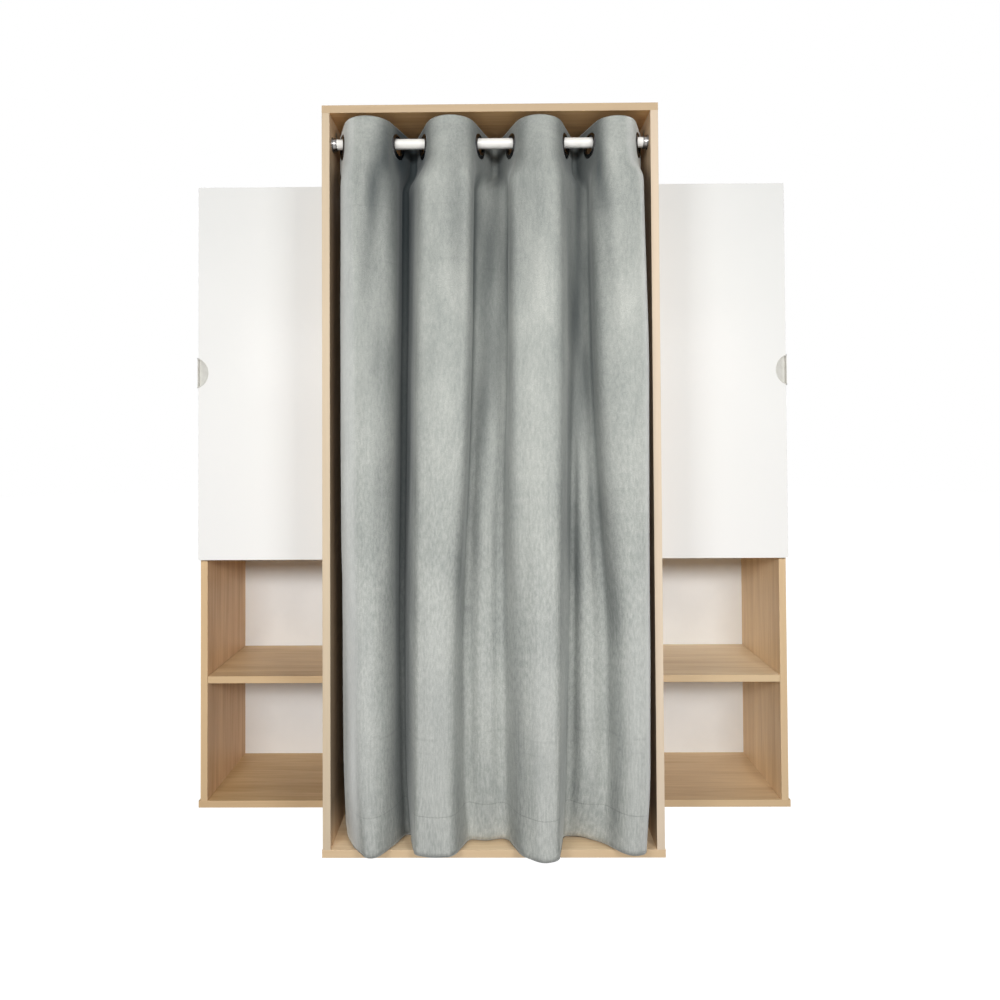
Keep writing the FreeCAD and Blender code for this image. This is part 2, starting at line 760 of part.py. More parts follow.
# Curtain rod and hanging rail: tubes in sockets that are screwed to the inner faces of the walls
socket_screws = []
for name, radius, y, z in (
    ("curtain_rod", S.rod_radius, ROD_LINE, ROD_HEIGHT),
    ("hanging_rail", S.rail_radius, RAIL_LINE, RAIL_HEIGHT),
):
    half = INNER_FACE - S.socket_base - S.socket_fit
    tube = cylinder(name + "_tube", "X", (-half, y, z), 2 * half, radius)
    bore = cylinder(name + "_hollow", "X", (-half, y, z), 2 * half, radius - S.rod_wall)
    keep(cut(name + "_piece", tube, [bore]), name)
    cup = radius + S.socket_fit + S.socket_wall
    for side, sign in SIDES:
        socket_name = "%s_%s_socket" % (name, side)
        socket = turned(
            socket_name + "_cup",
            [
                (0, S.socket_screw_radius + S.fixing_fit),
                (0, cup + S.socket_rim),
                (-sign * S.socket_base / 2, cup + S.socket_rim),
                (-sign * S.socket_base, cup),
                (-sign * (S.socket_length - S.socket_wall / 2), cup),
                (-sign * S.socket_length, cup - S.socket_wall / 2),
                (-sign * S.socket_length, radius + S.socket_fit),
                (-sign * S.socket_base, radius + S.socket_fit),
                (-sign * S.socket_base, S.socket_screw_head + S.fixing_fit),
            ],
        )
        place(socket, sign * INNER_FACE, y, z)
        keep(socket, socket_name)
        at = (sign * INNER_FACE, y, z)
        reach = S.socket_screw_length - S.socket_base
        shank = bar(
            socket_name + "_screw_shank", "X", -sign, at, -reach, S.socket_base - S.fixing_fit,
            S.socket_screw_radius,
        )
        hole = bar(
            socket_name + "_screw_hole", "X", -sign, at, -reach - S.fixing_fit, 0,
            S.socket_screw_radius + S.fixing_fit,
        )
        socket_screws.append(shank)
        wall = parts["tall_%s_wall" % side]
        wall.Tool.Shapes = wall.Tool.Shapes + [hole]
keep(group("socket_screw_group", socket_screws), "socket_screws")

# Eyelets: two-part rings that clamp the cloth, hung on the rod and turned with the cloth's folds
RING_HEIGHT = ROD_HEIGHT + S.rod_radius + S.eyelet_hang_gap - S.eyelet_bore
SEAT = S.cloth / 2 + S.eyelet_seat
HUB = S.eyelet_bore + S.eyelet_hub_wall
ring_half = [
    (SEAT, HUB), (SEAT, S.eyelet_rim), (SEAT + S.eyelet_rim_edge, S.eyelet_rim),
    (S.eyelet_depth / 2 - S.eyelet_crown_fall, S.eyelet_rim - S.eyelet_shoulder),
    (S.eyelet_depth / 2, S.eyelet_bore + S.eyelet_lead),
    (S.eyelet_depth / 2 - S.eyelet_lead, S.eyelet_bore),
]
ring_section = ring_half + [(-x, radius) for x, radius in reversed(ring_half)]
for index, share in enumerate(EYELET_SHARES, start=1):
    ring = turned("eyelet_%d_ring" % index, ring_section)
    way = 1 if index % 2 else -1
    place(ring, share * INNER_FACE, ROD_LINE, RING_HEIGHT, FreeCAD.Rotation(way * UP, S.eyelet_tilt.value))
    bind(ring, "Placement.Rotation.Angle", S.eyelet_tilt)
    keep(ring, "eyelet_%d" % index)


def bent_path(corners, bend_runs, shift):
    """Lines and arcs beside a line of corners, shifted to its left; a bend run ends at its corner."""
    runs = [(end - start) for start, end in zip(corners, corners[1:])]
    lefts = [Vec(-run.y, run.x, 0).normalize() for run in runs]
    edges = []
    here = corners[0] + lefts[0] * shift
    for index, bend in enumerate(bend_runs):
        corner = corners[index + 1]
        before, after = runs[index], runs[index + 1]
        half_turn = before.getAngle(after) / 2
        towards = 1 if before.cross(after).z > 0 else -1
        start = corner - Vec(before).normalize() * bend
        centre = start + lefts[index] * (towards * bend / math.tan(half_turn))
        arrive = start + lefts[index] * shift
        leave = corner + Vec(after).normalize() * bend + lefts[index + 1] * shift
        radius = bend / math.tan(half_turn) - towards * shift
        middle = centre + (corner - centre).normalize() * radius
        edges.append(Part.LineSegment(here, arrive).toShape())
        edges.append(Part.Arc(arrive, middle, leave).toShape())
        here = leave
    edges.append(Part.LineSegment(here, corners[-1] + lefts[-1] * shift).toShape())
    return edges


def cloth_section(corners, bend_runs, height):
    """The closed outline of the cloth's section, at a height."""
    half = S.cloth.value / 2
    front = bent_path(corners, bend_runs, -half)
    back = bent_path(corners, bend_runs, half)
    right_end = Part.LineSegment(front[-1].valueAt(front[-1].LastParameter),
                                 back[-1].valueAt(back[-1].LastParameter)).toShape()
    left_end = Part.LineSegment(back[0].valueAt(back[0].FirstParameter),
                                front[0].valueAt(front[0].FirstParameter)).toShape()
    wire = Part.Wire(front + [right_end] + back[::-1] + [left_end])
    wire.translate(Vec(0, 0, height))
    return wire


tilt = math.radians(S.eyelet_tilt.value)
ring_xs = [share * INNER_FACE.value for share in EYELET_SHARES]
rod_y = ROD_LINE.value
tail = S.header_tail.value
header_corners = [Vec(ring_xs[0] - tail * math.tan(tilt), rod_y + tail, 0)]
header_bends = []
for index, (left_x, right_x) in enumerate(zip(ring_xs, ring_xs[1:])):
    rise = (right_x - left_x) / 2 / math.tan(tilt)
    way = 1 if index % 2 else -1
    header_corners.append(Vec((left_x + right_x) / 2, rod_y + way * rise, 0))
    header_bends.append((BACK_BEND_SHARE if way > 0 else FRONT_BEND_SHARE) * rise / math.cos(tilt))
header_corners.append(Vec(ring_xs[-1] + tail * math.tan(tilt), rod_y + tail, 0))

fold = S.hem_fold_depth.value
hem_corners = [Vec(across_share * INNER_FACE.value, rod_y + back_share * fold, 0)
               for across_share, back_share, run_share in HEM_SHARES]
flanks = [(end - start).Length for start, end in zip(hem_corners, hem_corners[1:])]
hem_bends = [run_share * min(before, after)
             for (_, _, run_share), before, after in zip(HEM_SHARES[1:], flanks, flanks[1:])]

ring_z = RING_HEIGHT.value
curtain_shape = Part.makeLoft(
    [
        cloth_section(header_corners, header_bends, ring_z + S.header_rise.value),
        cloth_section(header_corners, header_bends, ring_z - S.header_drop.value),
        cloth_section(hem_corners, hem_bends, S.hem_height.value),
    ],
    True,
    True,
)
hole_radius = HUB.value + S.eyelet_seat.value
for index, ring_x in enumerate(ring_xs, start=1):
    way = 1 if index % 2 else -1
    normal = Vec(math.cos(tilt), way * math.sin(tilt), 0)
    reach = S.eyelet_depth.value
    hole = Part.makeCylinder(hole_radius, 2 * reach, Vec(ring_x, rod_y, ring_z) - normal * reach, normal)
    curtain_shape = curtain_shape.cut(hole)
curtain = doc.addObject("Part::Feature", "curtain_cloth")
curtain.Shape = curtain_shape
keep(curtain, "curtain")

doc.recompute()
for thing in doc.Objects:
    if "Invalid" in thing.State or "Error" in thing.State:
        raise RuntimeError("%s failed: %s" % (thing.Label, thing.State))
for label, thing in parts.items():
    if thing.Shape.isNull() or not thing.Shape.isValid():
        raise RuntimeError("%s has no valid shape" % label)
os.makedirs("parts", exist_ok=True)
for label, thing in sorted(parts.items()):
    print("%-32s %3d solids %14.1f mm3" % (label, len(thing.Shape.Solids), thing.Shape.Volume))
    thing.Shape.exportStep("parts/%s.step" % label)
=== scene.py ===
# %% [markdown]
# # A wardrobe with a curtain
# Three cabinets stand side by side. The middle one is tall and deep, and a velvet curtain hangs in it from a
# rod. The lower cabinets beside it each have a white gloss door over two open niches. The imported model
# already holds every board, door and fixing at its real size, so this lesson adds the camera, the light, the
# finishes, and the pieces that a plain solid can't show: cloth, rings, tubes and moulded trays.

# %% Load the frame
import bmesh
import bpy
import json
import math
from mathutils import Matrix, Vector, noise

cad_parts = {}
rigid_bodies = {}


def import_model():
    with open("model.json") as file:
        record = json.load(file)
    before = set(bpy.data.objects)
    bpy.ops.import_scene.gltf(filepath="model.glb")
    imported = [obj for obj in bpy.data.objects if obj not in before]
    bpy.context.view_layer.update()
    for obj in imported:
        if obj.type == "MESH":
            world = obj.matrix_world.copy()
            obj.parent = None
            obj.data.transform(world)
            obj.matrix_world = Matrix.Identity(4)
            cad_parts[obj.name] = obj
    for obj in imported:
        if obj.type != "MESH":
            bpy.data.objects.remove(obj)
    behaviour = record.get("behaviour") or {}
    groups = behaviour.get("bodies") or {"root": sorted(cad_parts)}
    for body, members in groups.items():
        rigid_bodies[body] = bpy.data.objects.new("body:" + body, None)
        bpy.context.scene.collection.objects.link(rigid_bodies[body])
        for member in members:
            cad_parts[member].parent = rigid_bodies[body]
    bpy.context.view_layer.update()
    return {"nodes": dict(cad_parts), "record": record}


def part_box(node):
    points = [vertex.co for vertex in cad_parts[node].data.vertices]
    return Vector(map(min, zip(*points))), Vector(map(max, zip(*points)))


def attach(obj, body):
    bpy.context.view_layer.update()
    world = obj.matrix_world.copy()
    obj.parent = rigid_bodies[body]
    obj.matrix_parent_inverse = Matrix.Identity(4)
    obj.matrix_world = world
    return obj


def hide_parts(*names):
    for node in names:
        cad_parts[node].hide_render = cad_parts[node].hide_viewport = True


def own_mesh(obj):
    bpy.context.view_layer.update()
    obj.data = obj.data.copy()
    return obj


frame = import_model()
scene = bpy.context.scene
nodes = frame["nodes"]
slots = {part["node"]: part["material_slot"] for part in frame["record"]["subparts"]}
MM = 0.001

# %% [markdown]
# ## The camera
# The camera stood 1.6 m in front of the tall cabinet, a little below the height of the door pulls. Its eye
# point, focal length and tilt came from matching the edges of the boards, so they are kept as plain
# numbers. The lens is shifted more than it is tilted, which keeps upright edges nearly upright.

# %% Place the camera
IMAGE = 1000
EYE = Vector((0.0068, -1.8515, 0.9941))
FOCAL_PIXELS = 662.3
CENTRE_PIXEL = (489.4, 432.0)
YAW, PITCH, ROLL = -0.0071, 0.016, -0.0055

level_right = Vector((math.cos(YAW), -math.sin(YAW), 0))
level_ahead = Vector((math.sin(YAW), math.cos(YAW), 0))
up = Vector((0, 0, 1))
ahead = math.cos(PITCH) * level_ahead + math.sin(PITCH) * up
tipped_up = -math.sin(PITCH) * level_ahead + math.cos(PITCH) * up
right = math.cos(ROLL) * level_right + math.sin(ROLL) * tipped_up
rolled_up = -math.sin(ROLL) * level_right + math.cos(ROLL) * tipped_up

camera_data = bpy.data.cameras.new("camera")
camera_data.sensor_fit = "HORIZONTAL"
camera_data.sensor_width = 36
camera_data.lens = FOCAL_PIXELS / IMAGE * camera_data.sensor_width
camera_data.shift_x = (IMAGE / 2 - CENTRE_PIXEL[0]) / IMAGE
camera_data.shift_y = (CENTRE_PIXEL[1] - IMAGE / 2) / IMAGE
camera = bpy.data.objects.new("camera", camera_data)
camera.matrix_world = Matrix.Translation(EYE) @ Matrix((right, rolled_up, -ahead)).transposed().to_4x4()
scene.collection.objects.link(camera)
scene.camera = camera
scene.view_settings.view_transform = "Standard"
print("lens: %.2f mm" % camera_data.lens)

# %% [markdown]
# ## Light and stage
# Two small softboxes at the sides and a larger one high behind the camera light the front, so the folds of
# the curtain are bright, their valleys are dark, and soft shadows lie in the niches. Area lights make such
# soft light. Only the front lamp shows in reflections, because the others would put bright patches on the
# gloss doors. A lamp behind the wardrobe and one over it light the faces that the photo doesn't show.
# The world is white where the camera or a reflection sees it, and gives the boards only a dim grey light.
# The floor glows in the same way, which hides the shadows and the horizon.

# %% Hang the lamps
def softbox(name, place, aim, width, height, watts):
    """A soft rectangular lamp that points at a place and that no reflection shows."""
    data = bpy.data.lights.new(name, "AREA")
    data.shape = "RECTANGLE"
    data.size = width
    data.size_y = height
    data.energy = watts
    lamp = bpy.data.objects.new(name, data)
    lamp.location = place
    lamp.rotation_euler = (Vector(aim) - Vector(place)).to_track_quat("-Z", "Y").to_euler()
    lamp.visible_glossy = False
    scene.collection.objects.link(lamp)
    return lamp


MIDDLE = (0, -0.2, 0.8)
# Where each lamp hangs, where it points, its width and height, and its power in watts
LAMPS = {
    "left_softbox": ((-1.15, -2.2, 1.5), MIDDLE, 0.7, 0.45, 19.5),
    "right_softbox": ((1.15, -2.2, 1.5), MIDDLE, 0.7, 0.45, 20.5),
    "front_softbox": ((0, -4.2, 2.05), MIDDLE, 0.9, 0.8, 75),
    "rear_softbox": ((0, 3.8, 2.0), (0, 0.2, 0.9), 1.2, 1.2, 90),
    "top_softbox": ((0, 0.6, 3.4), (0, 0.1, 0), 1.6, 0.8, 15),
}
lamps = {name: softbox(name, *values) for name, values in LAMPS.items()}
lamps["front_softbox"].visible_glossy = True
print("lamps:", sorted(lamps))


# %% Colour the world and the floor
ROOM_LIGHT = (0.078, 0.078, 0.08, 1)
WHITE = (1, 1, 1, 1)
FLOOR_PAINT = (0.18, 0.18, 0.18, 1)
FLOOR_RADIUS = 14
FLOOR_CORNERS = 96


def seen_directly(tree):
    """A value that is 1 for camera, glossy and transmission rays."""
    path = tree.nodes.new("ShaderNodeLightPath")
    total = path.outputs["Is Camera Ray"]
    for ray in ("Is Glossy Ray", "Is Transmission Ray"):
        most = tree.nodes.new("ShaderNodeMath")
        most.operation = "MAXIMUM"
        tree.links.new(total, most.inputs[0])
        tree.links.new(path.outputs[ray], most.inputs[1])
        total = most.outputs[0]
    return total


world = bpy.data.worlds.new("white_room")
scene.world = world
world.use_nodes = True
room = world.node_tree
background = room.nodes["Background"]
room_colour = room.nodes.new("ShaderNodeMix")
room_colour.data_type = "RGBA"
room_colour.inputs["A"].default_value = ROOM_LIGHT
room_colour.inputs["B"].default_value = WHITE
room.links.new(seen_directly(room), room_colour.inputs["Factor"])
room.links.new(room_colour.outputs["Result"], background.inputs["Color"])

floor_paint = bpy.data.materials.new("studio_floor")
floor_paint.use_nodes = True
tree = floor_paint.node_tree
matt = tree.nodes.new("ShaderNodeBsdfDiffuse")
matt.inputs["Color"].default_value = FLOOR_PAINT
glow = tree.nodes.new("ShaderNodeEmission")
both = tree.nodes.new("ShaderNodeAddShader")
tree.links.new(seen_directly(tree), glow.inputs["Strength"])
glow.inputs["Color"].default_value = WHITE
tree.links.new(matt.outputs[0], both.inputs[0])
tree.links.new(glow.outputs[0], both.inputs[1])
tree.links.new(both.outputs[0], tree.nodes["Material Output"].inputs["Surface"])

bm = bmesh.new()
bmesh.ops.create_circle(bm, cap_ends=True, segments=FLOOR_CORNERS, radius=FLOOR_RADIUS)
floor_mesh = bpy.data.meshes.new("studio_floor")
bm.to_mesh(floor_mesh)
bm.free()
floor_mesh.materials.append(floor_paint)
floor = bpy.data.objects.new("studio_floor", floor_mesh)
scene.collection.objects.link(floor)
print("floor radius: %d m" % FLOOR_RADIUS)

# %% [markdown]
# ## Helpers for finishes
# Every finish is made of shader nodes, so it has detail at any zoom. Two effects come back in many of them:
# oak grain and fine surface variation. Each is a node group with named sockets, built once. The group gives
# colours, roughness and height, and each material keeps its own Principled shader.

# %% Make small tools for shader nodes
# A noise texture's values lie mostly in this range
NOISE_RANGE = (0.35, 0.65)


def feed(tree, socket, value):
    """Links an output to a socket, or sets the socket to a plain value."""
    if isinstance(value, bpy.types.NodeSocket):
        tree.links.new(value, socket)
    else:
        socket.default_value = value


def add(tree, kind, **inputs):
    """A node with values or links for its named inputs."""
    node = tree.nodes.new(kind)
    for name, value in inputs.items():
        feed(tree, node.inputs[name.replace("_", " ")], value)
    return node


def maths(tree, operation, first, second, clamp=False):
    """The output of a Math node on two sockets or numbers."""
    node = tree.nodes.new("ShaderNodeMath")
    node.operation = operation
    node.use_clamp = clamp
    feed(tree, node.inputs[0], first)
    feed(tree, node.inputs[1], second)
    return node.outputs[0]


def blend(tree, first, second, share):
    """A share of the first value and the rest of the second."""
    rest = maths(tree, "MULTIPLY", second, 1 - share)
    return maths(tree, "ADD", maths(tree, "MULTIPLY", first, share), rest)


def mixed(tree, factor, first, second):
    """The colour between two colours."""
    node = tree.nodes.new("ShaderNodeMix")
    node.data_type = "RGBA"
    for name, value in (("Factor", factor), ("A", first), ("B", second)):
        feed(tree, node.inputs[name], value)
    return node.outputs["Result"]


def stretched(tree, vector, scale, rotation=(0, 0, 0)):
    """Coordinates scaled and turned by a Mapping node."""
    node = add(tree, "ShaderNodeMapping", Vector=vector, Scale=scale, Rotation=rotation)
    return node.outputs["Vector"]


def clouds(tree, vector, scale, detail=3.0, roughness=0.5, distortion=0.0):
    """The value of a noise texture, about 0.3 to 0.7."""
    node = add(
        tree, "ShaderNodeTexNoise", Vector=vector, Scale=scale, Detail=detail, Roughness=roughness,
        Distortion=distortion,
    )
    return node.outputs[0]


def ranged(tree, value, low, high, new_low=0.0, new_high=1.0):
    """A value moved from one range to another, and kept inside it."""
    node = tree.nodes.new("ShaderNodeMapRange")
    tree.links.new(value, node.inputs["Value"])
    for name, number in (("From Min", low), ("From Max", high), ("To Min", new_low), ("To Max", new_high)):
        node.inputs[name].default_value = number
    return node.outputs["Result"]


def shade_group(name, inputs, outputs):
    """An empty node group with named sockets of the kinds Color, Float and Vector, and their inner ends."""
    group = bpy.data.node_groups.new(name, "ShaderNodeTree")
    for socket, kind, default in inputs:
        made = group.interface.new_socket(socket, in_out="INPUT", socket_type="NodeSocket" + kind)
        if default is not None:
            made.default_value = default
    for socket, kind in outputs:
        group.interface.new_socket(socket, in_out="OUTPUT", socket_type="NodeSocket" + kind)
    return group, group.nodes.new("NodeGroupInput").outputs, group.nodes.new("NodeGroupOutput").inputs


def parts_of(tree, vector):
    """The X, Y and Z sockets of a vector."""
    node = tree.nodes.new("ShaderNodeSeparateXYZ")
    tree.links.new(vector, node.inputs[0])
    return node.outputs


# %% Build the oak grain group
# Along the grain the noise is stretched twenty to fifty times: wide bands first, then fibres, then short
# pores. Each layer has its stretch, scale, detail, roughness and distortion.
OAK_LAYERS = ((0.045, 34, 4, 0.55, 0.6), (0.02, 260, 5, 0.65, 0.0), (0.03, 900, 2, 0.5, 0.0))
BANDS_SHARE = 0.55
PORE_SHARE = 0.35
PORE_RANGE = (0.60, 0.70)
GRAIN_RANGE = (0.36, 0.64)
FIBRE_RANGE = (0.3, 0.7)
OAK_ROUGHNESS = (0.42, 0.56)
oak, given, made = shade_group(
    "oak_grain",
    [
        ("Vector", "Vector", None), ("Light", "Color", (0.6, 0.4, 0.25, 1)),
        ("Dark", "Color", (0.3, 0.18, 0.1, 1)), ("Contrast", "Float", 1.0),
    ],
    [("Color", "Color"), ("Roughness", "Float"), ("Height", "Float")],
)
bands, fibres, pores = (
    clouds(oak, stretched(oak, given["Vector"], (1, 1, stretch)), *values) for stretch, *values in OAK_LAYERS
)
pore_mask = ranged(oak, pores, *PORE_RANGE)
grain = ranged(oak, blend(oak, bands, fibres, BANDS_SHARE), *GRAIN_RANGE)
lifted = maths(oak, "MULTIPLY", grain, given["Contrast"], True)
tone = mixed(oak, lifted, given["Light"], given["Dark"])
tone = mixed(oak, maths(oak, "MULTIPLY", pore_mask, PORE_SHARE), tone, given["Dark"])
oak.links.new(tone, made["Color"])
oak.links.new(ranged(oak, fibres, *FIBRE_RANGE, *OAK_ROUGHNESS), made["Roughness"])
oak.links.new(maths(oak, "SUBTRACT", fibres, pore_mask), made["Height"])
print("group:", oak.name)

# %% Build the fine variation group
# Paint, plastic and plated steel are never one flat colour: each has faint clouds and a fine texture.
TEXTURE_SCALE = 1400
variation, given, made = shade_group(
    "fine_variation",
    [
        ("Vector", "Vector", None), ("Color", "Color", (0.8, 0.8, 0.8, 1)),
        ("Shade", "Color", (0.7, 0.7, 0.7, 1)), ("Scale", "Float", 40.0), ("Smooth", "Float", 0.2),
        ("Rough", "Float", 0.4),
    ],
    [("Color", "Color"), ("Roughness", "Float"), ("Height", "Float")],
)
cloud = ranged(variation, clouds(variation, given["Vector"], given["Scale"], 4), *NOISE_RANGE)
texture = clouds(variation, given["Vector"], TEXTURE_SCALE, 2, 0.6)
difference = maths(variation, "SUBTRACT", given["Rough"], given["Smooth"])
roughness = maths(variation, "ADD", given["Smooth"], maths(variation, "MULTIPLY", difference, cloud))
variation.links.new(mixed(variation, cloud, given["Color"], given["Shade"]), made["Color"])
variation.links.new(roughness, made["Roughness"])
variation.links.new(texture, made["Height"])
print("group:", variation.name)


# %% Make a finish from a group
BUMP_STRENGTH = 0.5


def finish_of(name, group, values, bump, metallic=0.0, turn=(0, 0, 0)):
    """A Principled material fed by a group that reads the piece's Object coordinates."""
    material = bpy.data.materials.new(name)
    material.use_nodes = True
    tree = material.node_tree
    shader = tree.nodes["Principled BSDF"]
    place = tree.nodes.new("ShaderNodeTexCoord")
    effect = tree.nodes.new("ShaderNodeGroup")
    effect.node_tree = group
    tree.links.new(stretched(tree, place.outputs["Object"], (1, 1, 1), turn), effect.inputs["Vector"])
    for socket, value in values.items():
        effect.inputs[socket].default_value = value
    height = effect.outputs["Height"]
    relief = add(tree, "ShaderNodeBump", Strength=BUMP_STRENGTH, Distance=bump, Height=height)
    tree.links.new(effect.outputs["Color"], shader.inputs["Base Color"])
    tree.links.new(effect.outputs["Roughness"], shader.inputs["Roughness"])
    tree.links.new(relief.outputs["Normal"], shader.inputs["Normal"])
    shader.inputs["Metallic"].default_value = metallic
    return material


def from_screen(red, green, blue):
    """A colour as a screen shows it, from 0 to 255, in the linear values that shaders use."""
    shares = (red / 255, green / 255, blue / 255)
    linear = (((share + 0.055) / 1.055) ** 2.4 if share > 0.04 else share / 12.92 for share in shares)
    return (*linear, 1)


# %% [markdown]
# ## Oak decor
# The boards are faced with a light oak print whose straight grain follows each board: upright on the walls,
# level on shelves, tops and bases. Their front edges carry an edge band, painted paler low down as light from
# the white floor. One function makes all these materials. It turns the grain with a Mapping node, finds the
# band by the direction of the face, and paints a shade on the two faces beside the curtain, which stand in
# its shade. Some boards take lighter or darker copies of the oak and its band, as painted light and shade.

# %% Make the oak materials
FACE_LIGHT, FACE_DARK = (226, 197, 162), (196, 161, 125)
BLACK = (0, 0, 0, 1)
GRAIN_RELIEF = 0.12 * MM
# A face whose normal has a Y under FACES_FRONT is a front edge. The band takes BAND_SHARE of its colour, and
# painted light makes it paler by BAND_LIFT between these heights.
FACES_FRONT = -0.5
BAND_SHARE = 0.75
BAND_LIFT = 20
BAND_HEIGHTS = (1.7, 0.1)
# Faces nearer the middle than INNER_FACE stand beside the curtain and get a painted shade
INNER_FACE = 0.3915
# The axis along which the painted shade by the curtain comes in, and the places where it starts and is full
INNER_SHADE = (("Z", 0.03, 0.12), ("Z", 1.76, 1.66), ("Y", -0.31, -0.25))


def oak_finish(name, turn, band_colour, light=FACE_LIGHT, dark=FACE_DARK, inside=1.0):
    """Oak with a banded front edge; inside is how bright painted shade leaves the face by the curtain."""
    values = {"Light": from_screen(*light), "Dark": from_screen(*dark)}
    material = finish_of(name, oak, values, GRAIN_RELIEF, turn=turn)
    tree = material.node_tree
    paint = tree.nodes["Principled BSDF"].inputs["Base Color"]
    coordinates = tree.nodes.new("ShaderNodeTexCoord")
    place = parts_of(tree, coordinates.outputs["Object"])
    facing = parts_of(tree, coordinates.outputs["Normal"])
    front = maths(tree, "LESS_THAN", facing["Y"], FACES_FRONT)
    grain = paint.links[0].from_socket
    # Painted light: the band is paler low down
    low_band = from_screen(*(value + BAND_LIFT for value in band_colour))
    band = mixed(tree, ranged(tree, place["Z"], *BAND_HEIGHTS), from_screen(*band_colour), low_band)
    band = mixed(tree, BAND_SHARE, grain, band)
    # Painted shade on the faces beside the curtain, which stand in its shadow
    if inside < 1:
        inner = maths(tree, "LESS_THAN", maths(tree, "ABSOLUTE", place["X"], 0.0), INNER_FACE)
        for axis, start, full in INNER_SHADE:
            inner = maths(tree, "MULTIPLY", inner, ranged(tree, place[axis], start, full))
        grain = mixed(tree, maths(tree, "MULTIPLY", inner, 1 - inside), grain, BLACK)
    tree.links.new(mixed(tree, front, grain, band), paint)
    return material


UPRIGHT, ACROSS = (0, 0, 0), (0, math.pi / 2, 0)
side_upright = oak_finish("side_oak_upright", UPRIGHT, (209, 178, 134), (228, 194, 154), (196, 157, 118))
side_across = oak_finish("side_oak_across", ACROSS, (205, 173, 130), (222, 195, 154), (190, 158, 117))
# Boards with lighter or darker copies of the oak, as painted light and shade: the material's name, the
# grain's turn, the band, the grain's light and dark, and how bright the painted shade leaves the inner face
PAINTED_LIGHT_AND_SHADE_OAK = {
    "left_base": ("left_base_oak", ACROSS, (207, 174, 132), (212, 182, 136), (182, 147, 102)),
    "tall_left_wall": ("tall_left_oak", UPRIGHT, (196, 180, 154), FACE_LIGHT, FACE_DARK, 0.4),
    "tall_right_wall": ("tall_right_oak", UPRIGHT, (214, 198, 176), FACE_LIGHT, FACE_DARK, 0.55),
    "tall_top": ("tall_top_oak", ACROSS, (172, 158, 134), (252, 206, 148), (226, 176, 120)),
    "tall_base": ("tall_base_oak", ACROSS, (202, 173, 135), (253, 228, 192), (228, 196, 154)),
    "right_outer_wall": ("right_wall_oak", UPRIGHT, (210, 180, 139), (244, 217, 178), (216, 185, 145)),
    "right_niche_shelf": ("right_shelf_oak", ACROSS, (206, 176, 134), (246, 226, 192), (220, 194, 158)),
    "right_base": ("right_base_oak", ACROSS, (207, 176, 134), (230, 202, 162), (202, 170, 130)),
}
oaks = {node: oak_finish(*values) for node, values in PAINTED_LIGHT_AND_SHADE_OAK.items()}
for node, slot in slots.items():
    if slot == "oak_board":
        nodes[node].data.materials.clear()
        nodes[node].data.materials.append(oaks.get(node, side_upright if "wall" in node else side_across))
print("oak boards:", sum(slot == "oak_board" for slot in slots.values()))

# %% [markdown]
# ## The other finishes
# White gloss board, pale back panels, powder-coated tube, chrome, plated steel, chrome eyelets darkened as a
# painted reflection, grey moulded plastic and zinc-plated fixings each take the fine variation group with
# their own values. The beech dowels take the oak grain. The gloss doors get a clear coat, and painted light
# makes their paint a little paler low down, where the white floor lit them.

# %% Make the other finishes
# For each slot: the material's name, its colour and its shade, the scale of its clouds, its lowest and
# highest roughness, the height of its texture in millimetres, and how metallic it is
PLAIN_FINISHES = {
    "back_panel": ("pale_panel", (248, 250, 250), (243, 245, 245), 9, (0.55, 0.70), 0.05, 0),
    "white_profile": ("white_strip", (226, 222, 216), (216, 211, 204), 30, (0.40, 0.50), 0.03, 0),
    "white_gloss_board": ("white_gloss", (237, 237, 234), (234, 234, 231), 3, (0.07, 0.13), 0.004, 0),
    "grey_pull": ("grey_moulding", (216, 215, 208), (208, 206, 199), 60, (0.35, 0.45), 0.03, 0),
    "hinge_steel": ("nickel_plate", (196, 194, 188), (176, 174, 168), 60, (0.22, 0.34), 0.01, 1),
    "white_tube": ("white_powder_coat", (243, 241, 236), (238, 236, 230), 50, (0.28, 0.36), 0.02, 0),
    "chrome_tube": ("chrome", (226, 226, 226), (214, 214, 214), 40, (0.05, 0.10), 0.002, 1),
    # The sockets' chrome is darkened as painted shade and reflection
    "chrome_socket": ("satin_chrome_with_painted_shade", (160, 158, 156), (142, 140, 138), 90, (0.22, 0.30), 0.006, 1),
    # The eyelets' chrome is darkened as a painted reflection of the dark cabinet around them
    "chrome_eyelet": ("chrome_darkened_as_reflection", (112, 112, 113), (84, 84, 86), 90, (0.14, 0.22), 0.006, 1),
    "fixing_steel": ("zinc_plate", (190, 188, 176), (168, 166, 154), 120, (0.30, 0.45), 0.02, 1),
}
finishes = {}
for slot, (name, colour, shade, scale, roughness, height, metallic) in PLAIN_FINISHES.items():
    values = {"Color": from_screen(*colour), "Shade": from_screen(*shade), "Scale": scale}
    values["Smooth"], values["Rough"] = roughness
    finishes[slot] = finish_of(name, variation, values, height * MM, metallic)
beech_values = {"Light": from_screen(222, 192, 150), "Dark": from_screen(192, 156, 112), "Contrast": 0.7}
BEECH_RELIEF = 0.08 * MM
finishes["dowel_wood"] = finish_of("beech", oak, beech_values, BEECH_RELIEF)
print("finishes:", sorted(finishes))

